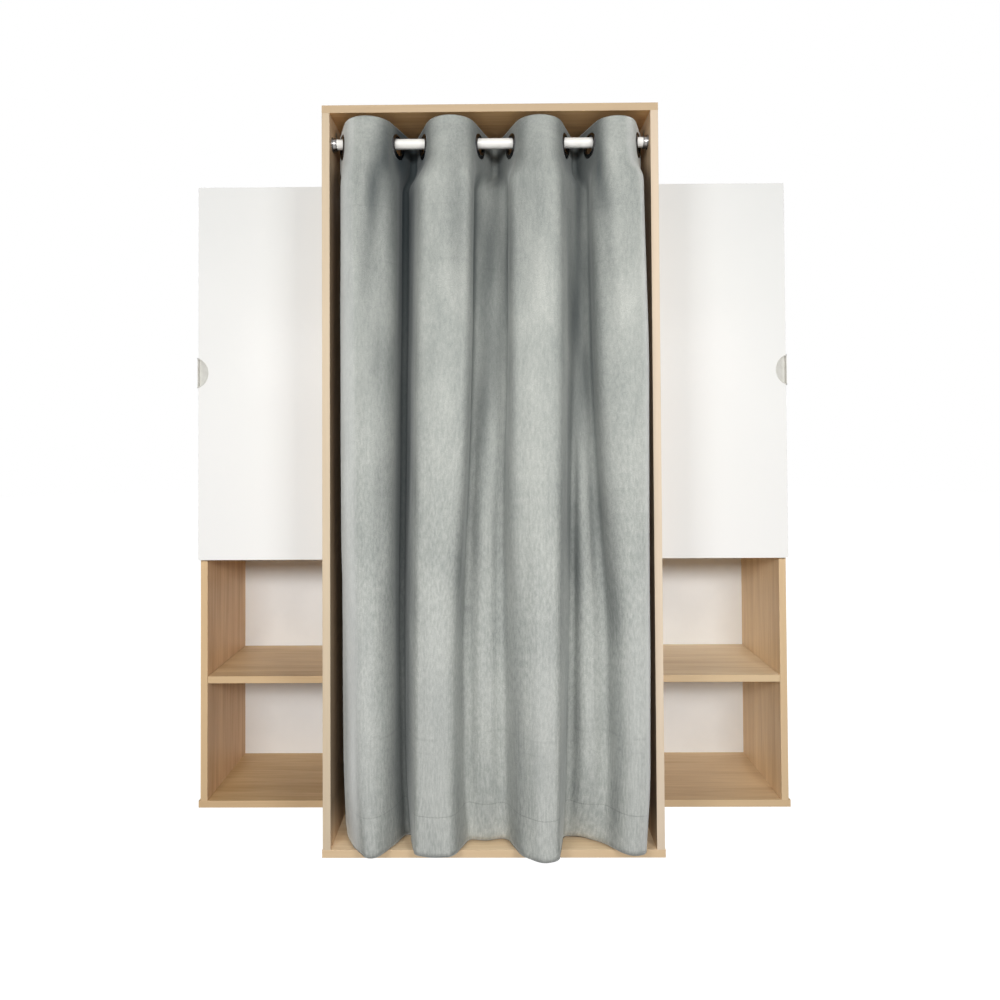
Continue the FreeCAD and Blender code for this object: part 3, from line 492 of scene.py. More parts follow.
# %% Finish the gloss and hand out the finishes
# Painted light: low down the gloss paint turns towards this paler colour
DOOR_PAINTED_LIGHT = (251, 250, 247)
DOOR_PAINTED_LIGHT_SHARE = 0.9
DOOR_PAINTED_LIGHT_HEIGHTS = (1.6, 0.7)
COAT_SHARE = 0.4
COAT_ROUGHNESS = 0.04
gloss = finishes["white_gloss_board"].node_tree
gloss_inputs = gloss.nodes["Principled BSDF"].inputs
gloss_inputs["Coat Weight"].default_value = COAT_SHARE
gloss_inputs["Coat Roughness"].default_value = COAT_ROUGHNESS
height = parts_of(gloss, gloss.nodes.new("ShaderNodeTexCoord").outputs["Object"])["Z"]
low = ranged(gloss, height, *DOOR_PAINTED_LIGHT_HEIGHTS, 0.0, DOOR_PAINTED_LIGHT_SHARE)
paint = gloss_inputs["Base Color"]
gloss.links.new(mixed(gloss, low, paint.links[0].from_socket, from_screen(*DOOR_PAINTED_LIGHT)), paint)
for node, slot in slots.items():
    if slot in finishes:
        nodes[node].data.materials.clear()
        nodes[node].data.materials.append(finishes[slot])
print("pieces with these finishes:", sum(slot in finishes for slot in slots.values()))

# %% [markdown]
# ## Pieces from turned sections
# Rings, tubes and sockets are round, so each is a section of a few corners spun about an axis. The bevel
# then rounds the sharp rings. Spin leaves a double seam unless use_merge is on, and it may turn the shape
# inside out, so doubles are merged and the normals recalculated.

# %% Make tools for spun pieces
MERGE_DISTANCE = 0.01 * MM
SAME_PLACE = 0.001 * MM
SHARP_ANGLE = math.radians(25)


def mesh_piece(bm, name, material, body, node):
    """Turns a finished bmesh into a piece that rides on a body and stands for a node."""
    mesh = bpy.data.meshes.new(name)
    bm.to_mesh(mesh)
    bm.free()
    mesh.materials.append(material)
    for face in mesh.polygons:
        face.use_smooth = True
    piece = bpy.data.objects.new(name, mesh)
    scene.collection.objects.link(piece)
    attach(piece, body)
    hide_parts(node)
    return piece


def spun(corners, steps):
    """A closed section turned about the X axis; each corner is a place along the axis and a radius."""
    bm = bmesh.new()
    verts = [bm.verts.new((along, 0, radius)) for along, radius in corners]
    edges = [bm.edges.new(pair) for pair in zip(verts, verts[1:] + verts[:1])]
    bmesh.ops.spin(
        bm, geom=verts + edges, cent=(0, 0, 0), axis=(1, 0, 0), dvec=(0, 0, 0), angle=2 * math.pi,
        steps=steps, use_merge=True, use_duplicate=False,
    )
    bmesh.ops.remove_doubles(bm, verts=bm.verts, dist=MERGE_DISTANCE)
    bmesh.ops.recalc_face_normals(bm, faces=bm.faces)
    return bm


def rounded(bm, radius, segments, wanted):
    """Bevels the edges that a test accepts."""
    edges = [edge for edge in bm.edges if wanted(edge)]
    bmesh.ops.bevel(
        bm, geom=edges, offset=radius, offset_type="OFFSET", affect="EDGES", segments=segments,
        profile=0.5, material=-1, clamp_overlap=True,
    )


def sharp(edge):
    """Whether the two faces at an edge meet at a sharp angle."""
    return len(edge.link_faces) == 2 and edge.calc_face_angle(0) > SHARP_ANGLE


def sharp_ring(edge):
    """Whether an edge is sharp and runs round the X axis."""
    a, b = (vert.co for vert in edge.verts)
    reach = a.yz.length
    round_axis = abs(a.x - b.x) < SAME_PLACE and abs(reach - b.yz.length) < SAME_PLACE and reach > MM
    return round_axis and sharp(edge)


# %% [markdown]
# ## Eyelets
# Eight chrome rings, darkened as a painted reflection of the dark cabinet around them, are pressed through
# the curtain's header and hang on the rod. Each has two domed flanges with the cloth in a slot between them.
# They are turned with the folds, one to the left and the next to the right.

# %% Spin the eyelets
EYELETS = 8
EYELET_TILT = math.radians(21)
EYELET_STEPS = 56
EYELET_ROUND = 0.5 * MM
# Half of a ring's section in millimetres, from the slot over the dome into the bore: how far each corner is
# from the ring's middle plane, and how far from its axis
DOME = ((1.3, 22.2), (1.3, 30.0), (2.2, 30.0), (4.0, 26.4), (4.5, 23.8), (3.7, 20.9), (2.1, 20.0))
eyelet_places = []
for index in range(1, EYELETS + 1):
    low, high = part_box("eyelet_%d" % index)
    eyelet_places.append((low + high) / 2)


def eyelet(index):
    """One ring with two domed flanges, turned with its fold."""
    domed = [(along * MM, radius * MM) for along, radius in DOME]
    bm = spun(domed + [(-along, radius) for along, radius in reversed(domed)], EYELET_STEPS)
    rounded(bm, EYELET_ROUND, 2, sharp_ring)
    way = 1 if index % 2 else -1
    bmesh.ops.rotate(bm, verts=bm.verts, cent=(0, 0, 0), matrix=Matrix.Rotation(way * EYELET_TILT, 3, "Z"))
    bmesh.ops.translate(bm, verts=bm.verts, vec=eyelet_places[index - 1])
    # The last ring stays where it is when the curtain is drawn, so it rides on the cabinet
    body = "ring_%d" % index if index < EYELETS else "cabinet"
    name = "domed_eyelet_%d" % index
    return mesh_piece(bm, name, finishes["chrome_eyelet"], body, "eyelet_%d" % index)


eyelets = [eyelet(index) for index in range(1, EYELETS + 1)]
print("eyelets:", len(eyelets), "faces each:", len(eyelets[0].data.polygons))

# %% [markdown]
# ## Rod, rail and sockets
# The white rod and the chrome hanging rail are tubes. Their sockets are satin metal cups, darker than chrome
# as painted shade and reflection, with a flange on the wall and a hole for its screw.

# %% Spin the tubes and sockets
TUBE_STEPS = 64
TUBE_WALL = 1.2 * MM
FLANGE = 3.0 * MM
FLANGE_EDGE = 2.1 * MM
FLANGE_REACH = 2.5 * MM
FLANGE_FACE = 1.0 * MM
CUP_WALL = 2.8 * MM
CUP_LIP = 1.4 * MM
CUP_FIT = 0.2 * MM
SCREW_HOLE = 2 * MM
SOCKET_ROUND = 0.7 * MM


def tube(node, material):
    """A tube with crisp ends in place of a bar; gives its radius."""
    low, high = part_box(node)
    radius = (high.z - low.z) / 2
    half = (high.x - low.x) / 2
    inner = radius - TUBE_WALL
    bm = spun([(-half, radius), (half, radius), (half, inner), (-half, inner)], TUBE_STEPS)
    for edge in bm.edges:
        edge.smooth = not sharp(edge)
    bmesh.ops.translate(bm, verts=bm.verts, vec=(low + high) / 2)
    mesh_piece(bm, node + "_tube", material, "cabinet", node)
    return radius


def socket(node, sign, radius):
    """A cup on the left wall where sign is -1, and on the right wall where it is 1."""
    low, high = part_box(node)
    middle = (low + high) / 2
    wall = high.x if sign > 0 else low.x
    length = high.x - low.x
    bore = radius + CUP_FIT
    cup = bore + CUP_WALL
    rim = cup + FLANGE_REACH
    section = (
        (0, SCREW_HOLE), (0, rim), (FLANGE_EDGE, rim), (FLANGE, cup + FLANGE_FACE), (FLANGE, cup),
        (length - CUP_LIP, cup), (length, cup - CUP_LIP), (length, bore), (FLANGE, bore),
        (FLANGE, SCREW_HOLE),
    )
    bm = spun([(-sign * along, reach) for along, reach in section], TUBE_STEPS)
    rounded(bm, SOCKET_ROUND, 3, sharp_ring)
    bmesh.ops.translate(bm, verts=bm.verts, vec=(wall, middle.y, middle.z))
    mesh_piece(bm, node + "_cup", finishes["chrome_socket"], "cabinet", node)


for bar, slot in (("curtain_rod", "white_tube"), ("hanging_rail", "chrome_tube")):
    bar_radius = tube(bar, finishes[slot])
    for side, sign in (("left", -1), ("right", 1)):
        socket("%s_%s_socket" % (bar, side), sign, bar_radius)
    print(bar, "radius: %.1f mm" % (bar_radius / MM))

# %% [markdown]
# ## The curtain
# One panel of heavy velvet hangs in seven bends between its eyelets: four forward, three back. At the
# header the folds are even, because the rings set them. Towards the hem they relax and wander. The sheet is
# a grid of even columns. Each of its rows is laid along a line of straight flanks and bends, whose corners
# are set by the eyelets in the header, and are given at six heights below it, down to the hem. That follows
# the photographed folds, which a simulation would not. Small ripples and crush marks are added across it.

# %% Place the corners of the folds
rod_low, rod_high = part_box("curtain_rod")
ROD_Y = (rod_low.y + rod_high.y) / 2
RING_Z = eyelet_places[0].z
HEADER_TOP = RING_Z + 46 * MM
HEADER_END = RING_Z - 36 * MM
HEM_Z = 25 * MM
HEADER_TAIL = 45 * MM
FRONT_BEND_SHARE = 0.83
BACK_BEND_SHARE = 0.30
BODY_HEIGHTS = (1.62, 1.20, 0.82, 0.55, 0.13, 0.025)
# The corners of the folds below the header, from left to right: the run of each bend as a share of its
# shorter flank, then the corner's X and its Y at these heights, in millimetres
FOLDS = (
    (0.00, (-366, -367, -369, -376, -378, -374), (-205, -205, -200, -175, -160, -152)),
    (0.40, (-362, -363, -363, -353, -350, -344), (-270, -270, -268, -262, -262, -228)),
    (0.45, (-299, -299, -300, -301, -295, -283), (-304, -305, -305, -305, -304, -307)),
    (0.45, (-230, -234, -240, -242, -244, -246), (-276, -276, -276, -272, -265, -248)),
    (0.30, (-217, -221, -226, -229, -222, -203), (-165, -165, -165, -168, -172, -183)),
    (0.28, (-165, -172, -179, -181, -183, -186), (-286, -286, -286, -284, -280, -283)),
    (0.45, (-103, -107, -120, -136, -141, -139), (-308, -308, -306, -302, -293, -290)),
    (0.35, (-39, -46, -68, -93, -97, -95), (-294, -292, -287, -284, -283, -285)),
    (0.35, (-40, -47, -58, -68, -68, -56), (-210, -212, -215, -220, -216, -214)),
    (0.45, (2, -2, -16, -21, -23, -21), (-198, -212, -258, -260, -244, -216)),
    (0.35, (47, 44, 26, 22, 27, 35), (-210, -212, -226, -232, -222, -206)),
    (0.35, (45, 43, 46, 58, 64, 67), (-286, -286, -284, -280, -278, -285)),
    (0.45, (108, 110, 112, 115, 115, 113), (-307, -308, -309, -309, -309, -312)),
    (0.35, (166, 164, 160, 157, 154, 152), (-298, -298, -299, -299, -299, -304)),
    (0.35, (202, 199, 196, 194, 179, 168), (-228, -226, -212, -208, -205, -205)),
    (0.45, (228, 224, 222, 222, 224, 202), (-196, -204, -250, -258, -252, -190)),
    (0.40, (246, 250, 262, 274, 274, 267), (-204, -204, -212, -226, -230, -233)),
    (0.45, (247, 253, 276, 300, 297, 295), (-264, -266, -270, -272, -270, -265)),
    (0.45, (309, 320, 331, 333, 329, 324), (-296, -297, -297, -294, -288, -284)),
    (0.40, (372, 382, 377, 375, 372, 358), (-290, -288, -288, -286, -284, -272)),
    (0.00, (359, 371, 368, 365, 361, 356), (-230, -235, -235, -235, -237, -245)),
)
# Which of them hang below the header's own corners
HUNG = (0, 2, 4, 6, 9, 12, 15, 18, 20)
print("corners:", len(FOLDS), "at heights:", BODY_HEIGHTS)


# %% Make tools for lines of folds
BEND_STEPS = 12
TINY = 1e-9


def bent_line(corners, runs):
    """Points along straight flanks joined by arcs, their reach along the line, and each corner's reach."""
    points = [corners[0]]
    places = [0]
    for before, corner, after, run in zip(corners, corners[1:], corners[2:], runs):
        arrive = corner + (before - corner).normalized() * run
        leave = corner + (after - corner).normalized() * run
        half_angle = (before - corner).angle(after - corner) / 2
        centre = corner + ((arrive + leave) / 2 - corner).normalized() * run / math.cos(half_angle)
        first = arrive - centre
        turn = first.angle_signed(leave - centre)
        for step in range(BEND_STEPS + 1):
            points.append(centre + Matrix.Rotation(-turn * step / BEND_STEPS, 2) @ first)
        places.append(len(points) - 1 - BEND_STEPS // 2)
    points.append(corners[-1])
    places.append(len(points) - 1)
    reach = [0.0]
    for a, b in zip(points, points[1:]):
        reach.append(reach[-1] + (b - a).length)
    return points, reach, [reach[place] for place in places]


def spread(line, corner_columns):
    """One point for each column: even steps between the corners."""
    points, reach, corner_reach = line
    laid = []
    index = 0
    for start, end, first, last in zip(corner_reach, corner_reach[1:], corner_columns, corner_columns[1:]):
        for column in range(first, last + (last == corner_columns[-1])):
            wanted = start + (end - start) * (column - first) / (last - first)
            while index < len(points) - 2 and reach[index + 1] < wanted:
                index += 1
            share = (wanted - reach[index]) / max(reach[index + 1] - reach[index], TINY)
            laid.append(points[index].lerp(points[index + 1], min(share, 1)))
    return laid


# %% Read the folds at a height
SMOOTHING = (-0.08, -0.04, 0, 0.04, 0.08)


def through(values, height):
    """A value at a height, from the values at the body's heights, smoothed over some 16 cm."""
    total = 0
    for shift in SMOOTHING:
        place = min(max(height + shift, BODY_HEIGHTS[-1]), BODY_HEIGHTS[0])
        for high, low, a, b in zip(BODY_HEIGHTS, BODY_HEIGHTS[1:], values, values[1:]):
            if low <= place <= high:
                total += b + (a - b) * (place - low) / (high - low)
                break
    return total / len(SMOOTHING)


def eased(value, start, end):
    """A smooth change from 0 at the start to 1 at the end, which may be lower than the start."""
    share = min(max((value - start) / (end - start), 0), 1)
    return share * share * (3 - 2 * share)


def body_line(height):
    """The line of the cloth at a height below the header."""
    corners = [
        Vector((through(across, height) * MM, through(deep, height) * MM)) for _, across, deep in FOLDS
    ]
    flanks = [(b - a).length for a, b in zip(corners, corners[1:])]
    runs = [fold[0] * min(before, after) for fold, before, after in zip(FOLDS[1:], flanks, flanks[1:])]
    return bent_line(corners, runs)


# %% Draw the lines of the header and the body
COLUMNS = 300
lean = math.tan(EYELET_TILT)
header_corners = [Vector((eyelet_places[0].x - HEADER_TAIL * lean, ROD_Y + HEADER_TAIL))]
header_runs = []
for index, (one, next_one) in enumerate(zip(eyelet_places, eyelet_places[1:])):
    rise = (next_one.x - one.x) / 2 / lean
    back = index % 2 == 1
    header_corners.append(Vector(((one.x + next_one.x) / 2, ROD_Y + (rise if back else -rise))))
    header_runs.append((BACK_BEND_SHARE if back else FRONT_BEND_SHARE) * rise / math.cos(EYELET_TILT))
header_corners.append(Vector((eyelet_places[-1].x + HEADER_TAIL * lean, ROD_Y + HEADER_TAIL)))
header = bent_line(header_corners, header_runs)
bodies = [body_line(height) for height in BODY_HEIGHTS]
body_lengths = [reach[-1] for _, reach, _ in bodies]
corner_columns = []
for index in range(len(FOLDS)):
    shares = [corner_reach[index] / reach[-1] for _, reach, corner_reach in bodies]
    corner_columns.append(round(COLUMNS * (sum(shares) / len(shares))))
header_line = spread(header, [corner_columns[index] for index in HUNG])
print("header: %.3f m, body: %s" % (header[1][-1], ["%.3f" % length for length in body_lengths]))

# %% Give the rows their heights and lines
HEADER_ROWS = 20
BODY_ROWS = 140
ROWS = HEADER_ROWS + BODY_ROWS
FLAT_WIDTH = sum(body_lengths) / len(body_lengths)
FLAT_LENGTH = HEADER_TOP - HEM_Z
# Ripples and crush marks: how close they are across and down, their place in the noise, and their height
RELIEF = ((11, 0.9, 3.1, 3.0 * MM), (38, 4.5, 8.7, 1.2 * MM))
RELIEF_HEIGHTS = (HEADER_END, HEADER_END - 0.12)


def row_height(row):
    """Rows are close together in the header, where the holes are cut."""
    if row <= HEADER_ROWS:
        return HEADER_TOP + (HEADER_END - HEADER_TOP) * row / HEADER_ROWS
    return HEADER_END + (HEM_Z - HEADER_END) * (row - HEADER_ROWS) / BODY_ROWS


def sheet_row(height):
    """The cloth passes from the header's line to the body's just under the eyelets."""
    share = eased(height, HEADER_END, BODY_HEIGHTS[0])
    if share == 0:
        return header_line
    body = spread(body_line(height), corner_columns)
    return [upper.lerp(lower, share) for upper, lower in zip(header_line, body)]


def ripple(column, height):
    """How far the cloth stands out of its line."""
    along = column / COLUMNS * FLAT_WIDTH
    relief = sum(noise.noise(Vector((along * a, height * b, c))) * high for a, b, c, high in RELIEF)
    return relief * eased(height, *RELIEF_HEIGHTS)


rows = [sheet_row(row_height(row)) for row in range(ROWS + 1)]
print("rows:", len(rows), "columns:", COLUMNS)

# %% [markdown]
# ## Painted light and shade on the cloth
# Each point of the sheet gets a painted shade of its own, which stands in for light and shade: painted
# shade in the three valleys, on the flanks of the folds, near the top and low at the left end; painted
# light at the outer edges and low down; and patches of painted shade, with one of painted light.
# Blotches break all of it up. The sheet keeps this as an attribute, for the material to read.

# %% Describe the shades
# Patches of painted shade, and one of painted light where darker is below zero: the place across and the
# height of the middle, the half width and half height, how far the patch slants to the right on its way
# down, and how much darker it is
PAINTED_PATCHES = (
    (-0.270, 1.60, 24 * MM, 0.16, -0.11, 0.44),
    (-0.288, 1.33, 26 * MM, 0.32, 0.00, 0.18),
    (-0.268, 1.02, 13 * MM, 0.52, 0.00, 0.17),
    (-0.085, 1.58, 24 * MM, 0.24, 0.00, 0.26),
    (0.085, 1.60, 40 * MM, 0.26, 0.00, 0.20),
    (-0.300, 1.66, 40 * MM, 0.10, 0.00, 0.10),
    (0.268, 1.62, 18 * MM, 0.10, 0.15, 0.27),
    (0.285, 1.42, 14 * MM, 0.16, 0.10, 0.14),
    (0.300, 0.28, 16 * MM, 0.16, 0.00, 0.14),
    (-0.060, 0.62, 20 * MM, 0.22, 0.10, 0.12),
    (-0.062, 0.30, 16 * MM, 0.26, 0.00, 0.28),
    (0.050, 0.34, 22 * MM, 0.20, 0.12, 0.18),
    (0.285, 0.66, 16 * MM, 0.20, 0.00, 0.12),
    (0.183, 1.15, 9 * MM, 0.40, 0.00, -0.16),
    (-0.070, 1.42, 12 * MM, 0.14, 0.00, 0.10),
    (0.322, 1.47, 12 * MM, 0.10, 0.00, 0.12),
)
# The painted shade in the three valleys: the place across, and the shade at the body's heights
VALLEY_SHADES = (
    (-0.215, (0.84, 0.82, 0.80, 0.80, 0.84, 0.76)),
    (0.000, (0.46, 0.46, 0.46, 0.38, 0.18, 0.10)),
    (0.230, (0.54, 0.50, 0.50, 0.40, 0.22, 0.12)),
)
# Each painted shade or light comes in between two places: how far back, how far the cloth faces sideways or
# outwards, how far from the middle, how high, or how far to the left. Valleys, flanks, the top and the low
# left end get painted shade; the outer faces and the low cloth get painted light. Left of EVEN_VALLEY_END
# the valley has no blotches.
VALLEY_DEPTHS = (-0.275, -0.205)
FLANK_SHADE, FLANK_FACING = 0.34, (0.25, 0.95)
INNER_REACH = (0.33, 0.30)
OUTER_PALER, OUTER_FACING = 0.40, (0.15, 0.7)
CORNER_SHADE, CORNER_HEIGHTS, CORNER_PLACES = 0.3, (0.65, 0.35), (-0.340, -0.352)
TOP_SHADE, TOP_HEIGHTS = 0.09, (1.25, 1.6)
LOW_PALER, LOW_HEIGHTS = 0.16, (0.85, 0.35)
PATCH_DEPTHS = (-0.24, -0.27)
BLOTCH_ACROSS, BLOTCH_DOWN, BLOTCH_LAYER, BLOTCH_SHARE = 34, 5, 5.3, 0.7
EVEN_VALLEY_END = -0.1


def painted_light_and_shade(place, outward):
    """The painted shade at a place where the cloth faces outward; below zero it is painted light."""
    blotch = Vector((place.x * BLOTCH_ACROSS, place.z * BLOTCH_DOWN, BLOTCH_LAYER))
    blotch = 1 + BLOTCH_SHARE * noise.noise(blotch)
    _, shades = min(VALLEY_SHADES, key=lambda valley: abs(valley[0] - place.x))
    valley = eased(place.y, *VALLEY_DEPTHS) * through(shades, place.z)
    if place.x > EVEN_VALLEY_END:
        valley *= blotch
    flank = FLANK_SHADE * eased(abs(outward.x), *FLANK_FACING) * blotch
    inner = eased(abs(place.x), *INNER_REACH)
    outer = eased(outward.x * math.copysign(1, place.x), *OUTER_FACING)
    shade = inner * (1 - (1 - valley) * (1 - flank)) - (1 - inner) * outer * OUTER_PALER
    shade += CORNER_SHADE * eased(place.z, *CORNER_HEIGHTS) * eased(place.x, *CORNER_PLACES)
    shade += TOP_SHADE * eased(place.z, *TOP_HEIGHTS) - LOW_PALER * eased(place.z, *LOW_HEIGHTS)
    front = eased(place.y, *PATCH_DEPTHS)
    for across, height, half_width, half_height, slant, darker in PAINTED_PATCHES:
        side = (place.x - across + (place.z - height) * slant) / half_width
        level = (place.z - height) / half_height
        shade += darker * blotch * math.exp(-side * side - level * level) * front
    return shade


print("patches:", len(PAINTED_PATCHES), "valleys:", len(VALLEY_SHADES))

# %% Lay the sheet
# The cloth's direction at a column is measured between its neighbours this many columns away
NEIGHBOUR = 2
bm = bmesh.new()
bm.loops.layers.uv.new("cloth")
bmesh.ops.create_grid(bm, x_segments=COLUMNS, y_segments=ROWS, size=0.5, calc_uvs=True)
# Painted light and shade for the velvet, kept on each point of the sheet
shade_layer = bm.verts.layers.float.new("painted_light_and_shade")
for vert in bm.verts:
    column = round((vert.co.x + 0.5) * COLUMNS)
    row = round((0.5 - vert.co.y) * ROWS)
    height = row_height(row)
    run = rows[row][min(column + NEIGHBOUR, COLUMNS)] - rows[row][max(column - NEIGHBOUR, 0)]
    outward = Vector((run.y, -run.x, 0)).normalized()
    vert.co = rows[row][column].to_3d() + Vector((0, 0, height)) + outward * ripple(column, height)
    vert[shade_layer] = painted_light_and_shade(vert.co, outward)
print("sheet:", COLUMNS, "x", ROWS, "faces")

# %% Cut the holes for the eyelets
EYELET_HOLE = 24.3 * MM
HOLE_REACH = 1.45 * EYELET_HOLE
for centre in eyelet_places:
    inside = [vert for vert in bm.verts if (vert.co - centre).length < EYELET_HOLE]
    bmesh.ops.delete(bm, geom=inside, context="VERTS")
    rim = [vert for vert in bm.verts if vert.is_boundary and (vert.co - centre).length < HOLE_REACH]
    for vert in rim:
        vert.co = centre + (vert.co - centre).normalized() * EYELET_HOLE
print("curtain faces:", len(bm.faces))

# %% [markdown]
# ## Velvet
# Crushed velvet has a short pile that lies in streaks, pale where it leans to the eye and dark where it
# leans away. The streaks run down the cloth, so the material reads the sheet's own UV map, scaled to
# metres. Low down a coarser crush shows. The sheet's attribute of painted light and shade mixes in a pale
# or a dark tone, and the sheen of the Principled shader gives the soft glow at the folds' edges. Pressed
# creases from the packed cloth are thin lines of painted shade across it, the seam of the hem is a thin
# line, and a thin line of painted shade runs along the cloth's bottom edge.

# %% Make the velvet
# Broad tones, streaks, pile, crush and the breaks of the creases, each with its stretch down the cloth, its
# scale, detail, roughness and distortion
PILE_LAYERS = (
    (0.35, 15, 4, 0.55, 0.4), (0.28, 190, 4, 0.65, 0.4), (0.5, 800, 3, 0.65, 0.0), (0.3, 190, 3, 0.7, 0.0),
    (0.2, 16, 2, 0.5, 0.0),
)
BROAD_SHARE, STREAK_RELIEF = 0.55, 0.7
LEANS_AWAY, LEANS_TO_EYE = from_screen(165, 169, 164), from_screen(205, 207, 200)
BETWEEN_PILE, BETWEEN_SHARE = from_screen(112, 118, 113), 0.45
CRUSH_DARK, CRUSH_PALE = from_screen(136, 142, 138), from_screen(243, 244, 240)
CRUSH_SHARE, CRUSH_HEIGHTS, CRUSH_RANGE = 0.15, (1.25, 0.55), (0.40, 0.60)
PAINTED_SHADE_COLOUR, PAINTED_LIGHT_COLOUR = from_screen(28, 40, 45), from_screen(240, 241, 238)
# The height of each crease over the floor, and how dark the painted shade in it is
CREASES = ((1.432, 0.10), (1.312, 0.10), (0.276, 0.16), (0.246, 0.12))
CREASE_HALF, CREASE_BREAKS, CREASE_SHADE_COLOUR = 4 * MM, (0.42, 0.55), from_screen(90, 94, 92)
HEM_DEPTH = 85 * MM
# The width of the thin line of painted shade along the cloth's bottom edge
HEM_EDGE_SHADE = 3 * MM
STITCH, STITCH_GAP = 2 * MM, 0.5 * MM
# The seam's half width, and the colour and share that the seam and the painted shade at the bottom edge take
SEAM_HALF, SEAM_AND_EDGE_SHADE_COLOUR, SEAM_SHARE = 1.6 * MM, from_screen(84, 88, 86), 0.45
CLOTH_STRENGTH, CLOTH_RELIEF = 0.6, 0.9 * MM
SHEEN = {
    "Roughness": 0.9, "Sheen Weight": 0.35, "Sheen Roughness": 0.4, "Sheen Tint": (0.85, 0.88, 0.86, 1),
}


def line_mask(tree, value, centre, half_width):
    """1 at the centre of a line, 0 beyond its half width."""
    off = maths(tree, "ABSOLUTE", maths(tree, "SUBTRACT", value, centre), 0.0)
    return maths(tree, "SUBTRACT", 1.0, maths(tree, "DIVIDE", off, half_width, True), True)


def velvet_finish():
    """A Principled material that reads the sheet's UV map and its painted_light_and_shade."""
    material = bpy.data.materials.new("crushed_velvet")
    material.use_nodes = True
    tree = material.node_tree
    shader = tree.nodes["Principled BSDF"]
    place = tree.nodes.new("ShaderNodeTexCoord")
    cloth = stretched(tree, place.outputs["UV"], (FLAT_WIDTH, FLAT_LENGTH, 1))
    flat = parts_of(tree, cloth)
    broad, streaks, pile, crush, breaks = (
        clouds(tree, stretched(tree, cloth, (1, stretch, 1)), *values) for stretch, *values in PILE_LAYERS
    )
    lean = ranged(tree, blend(tree, broad, streaks, BROAD_SHARE), *NOISE_RANGE)
    colour = mixed(tree, lean, LEANS_AWAY, LEANS_TO_EYE)
    colour = mixed(tree, ranged(tree, pile, *NOISE_RANGE, 0.0, BETWEEN_SHARE), colour, BETWEEN_PILE)
    crushed = mixed(tree, ranged(tree, crush, *CRUSH_RANGE), CRUSH_DARK, CRUSH_PALE)
    colour = mixed(tree, ranged(tree, flat["Y"], *CRUSH_HEIGHTS, 0.0, CRUSH_SHARE), colour, crushed)
    broken = ranged(tree, breaks, *CREASE_BREAKS)
    # Painted shade in the pressed creases
    for height, darker in CREASES:
        crease = line_mask(tree, flat["Y"], height - HEM_Z, CREASE_HALF)
        crease = maths(tree, "MULTIPLY", maths(tree, "MULTIPLY", crease, broken), darker)
        colour = mixed(tree, crease, colour, CREASE_SHADE_COLOUR)
    stitches = maths(tree, "GREATER_THAN", maths(tree, "PINGPONG", flat["X"], STITCH), STITCH_GAP)
    seam = maths(tree, "MULTIPLY", line_mask(tree, flat["Y"], HEM_DEPTH, SEAM_HALF), stitches)
    # A thin line of painted shade along the cloth's bottom edge joins the seam
    seam = maths(tree, "MAXIMUM", seam, line_mask(tree, flat["Y"], 0.0, HEM_EDGE_SHADE))
    colour = mixed(tree, maths(tree, "MULTIPLY", seam, SEAM_SHARE), colour, SEAM_AND_EDGE_SHADE_COLOUR)
    # The attribute's painted shade darkens the colour, and its painted light makes it paler
    laid = tree.nodes.new("ShaderNodeAttribute")
    laid.attribute_name = "painted_light_and_shade"
    darker = maths(tree, "MAXIMUM", laid.outputs["Fac"], 0.0)
    paler = maths(tree, "MAXIMUM", maths(tree, "MULTIPLY", laid.outputs["Fac"], -1.0), 0.0)
    colour = mixed(tree, paler, mixed(tree, darker, colour, PAINTED_SHADE_COLOUR), PAINTED_LIGHT_COLOUR)
    relief = maths(tree, "SUBTRACT", blend(tree, streaks, pile, STREAK_RELIEF), seam)
    bump = add(tree, "ShaderNodeBump", Strength=CLOTH_STRENGTH, Distance=CLOTH_RELIEF, Height=relief)
    tree.links.new(colour, shader.inputs["Base Color"])
    tree.links.new(bump.outputs["Normal"], shader.inputs["Normal"])
    for name, value in SHEEN.items():
        shader.inputs[name].default_value = value
    return material


velvet = velvet_finish()
print("velvet:", len(velvet.node_tree.nodes), "shader nodes")

# %% Hang the curtain
CLOTH = 1.8 * MM
curtain = mesh_piece(bm, "velvet_curtain", velvet, "cabinet", "curtain")
thickness = curtain.modifiers.new("cloth_thickness", "SOLIDIFY")
thickness.thickness = CLOTH
thickness.offset = 0
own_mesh(curtain)
print("curtain: flat %.3f x %.3f m" % (FLAT_WIDTH, FLAT_LENGTH))

# %% [markdown]
# ## Finger pulls
# A half-moon tray of grey plastic sits in each door's outer edge. It starts as a disc, which a cut at the
# door's edge makes a half-moon. Insetting leaves the rim, the floor is pushed in behind it, and the part of
# the floor next to the door's edge, where the fingers go in, is pushed in deeper.

# %% Mould the pulls
PULL_STEPS = 96
PULL_RIM = 2.6 * MM
PULL_FLOOR = 3.0 * MM
PULL_DEEP = 4.2 * MM
PULL_DEEP_WIDTH = 15 * MM
PULL_ROUND = 0.6 * MM
# A face is taken for the tray's floor where its normal has a Y over this
FLOOR_FACING = 0.9


def extruded(bm, face):
    """Extrudes a face in place and gives the new face."""
    made = bmesh.ops.extrude_face_region(bm, geom=[face])["geom"]
    return [item for item in made if isinstance(item, bmesh.types.BMFace)][0]


def pushed_in(bm, face, depth):
    """Sinks a face into a piece, with walls around it, and gives the sunken face."""
    sunken = extruded(bm, face)
    bmesh.ops.delete(bm, geom=[face], context="FACES")
    bmesh.ops.translate(bm, verts=sunken.verts[:], vec=(0, depth, 0))
    return sunken


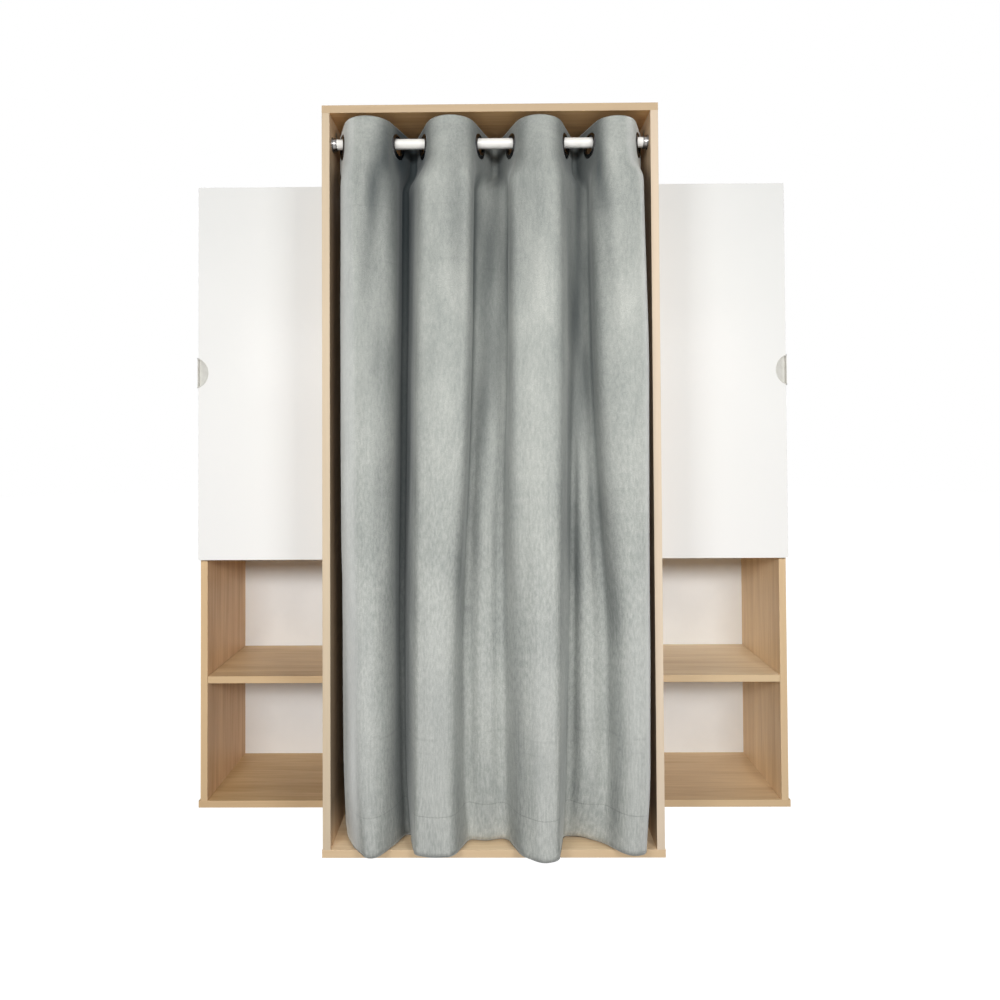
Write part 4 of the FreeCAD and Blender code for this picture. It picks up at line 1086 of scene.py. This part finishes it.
def finger_pull(side, sign):
    """The tray in a door's outer edge, which is on the left where sign is -1."""
    node = side + "_pull"
    low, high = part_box(node)
    outer = high.x if sign > 0 else low.x
    middle = Vector((outer, low.y, (low.z + high.z) / 2))
    half_height = (high.z - low.z) / 2
    reach = high.x - low.x
    radius = (half_height ** 2 + reach ** 2) / (2 * reach)
    centre = middle + Vector((sign * (radius - reach), 0, 0))
    bm = bmesh.new()
    bmesh.ops.create_circle(bm, cap_ends=True, segments=PULL_STEPS, radius=radius)
    bmesh.ops.rotate(bm, verts=bm.verts, cent=(0, 0, 0), matrix=Matrix.Rotation(math.pi / 2, 3, "X"))
    bmesh.ops.translate(bm, verts=bm.verts, vec=centre)
    bmesh.ops.bisect_plane(
        bm, geom=bm.verts[:] + bm.edges[:] + bm.faces[:], plane_co=middle, plane_no=(sign, 0, 0),
        clear_outer=True,
    )
    bmesh.ops.recalc_face_normals(bm, faces=bm.faces)
    back = bm.faces[:][0]
    if back.normal.y > 0:
        bmesh.ops.reverse_faces(bm, faces=[back])
    front = extruded(bm, back)
    bmesh.ops.translate(bm, verts=back.verts[:], vec=(0, high.y - low.y, 0))
    bmesh.ops.inset_region(bm, faces=[front], thickness=PULL_RIM, use_even_offset=True)
    tray_floor = pushed_in(bm, front, PULL_FLOOR)
    step = middle - Vector((sign * PULL_DEEP_WIDTH, 0, 0))
    bmesh.ops.bisect_plane(
        bm, geom=[tray_floor] + tray_floor.edges[:] + tray_floor.verts[:], plane_co=step, plane_no=(1, 0, 0)
    )
    floor_y = low.y + PULL_FLOOR
    halves = [
        face for face in bm.faces
        if abs(face.calc_center_median().y - floor_y) < MERGE_DISTANCE and abs(face.normal.y) > FLOOR_FACING
    ]
    pushed_in(bm, max(halves, key=lambda face: sign * face.calc_center_median().x), PULL_DEEP)
    bmesh.ops.recalc_face_normals(bm, faces=bm.faces)
    rounded(bm, PULL_ROUND, 3, sharp)
    return mesh_piece(bm, "finger_pull_" + side, finishes["grey_pull"], side + "_leaf", node)


for side, sign in (("left", -1), ("right", 1)):
    pull = finger_pull(side, sign)
    print(pull.name, "faces:", len(pull.data.polygons))
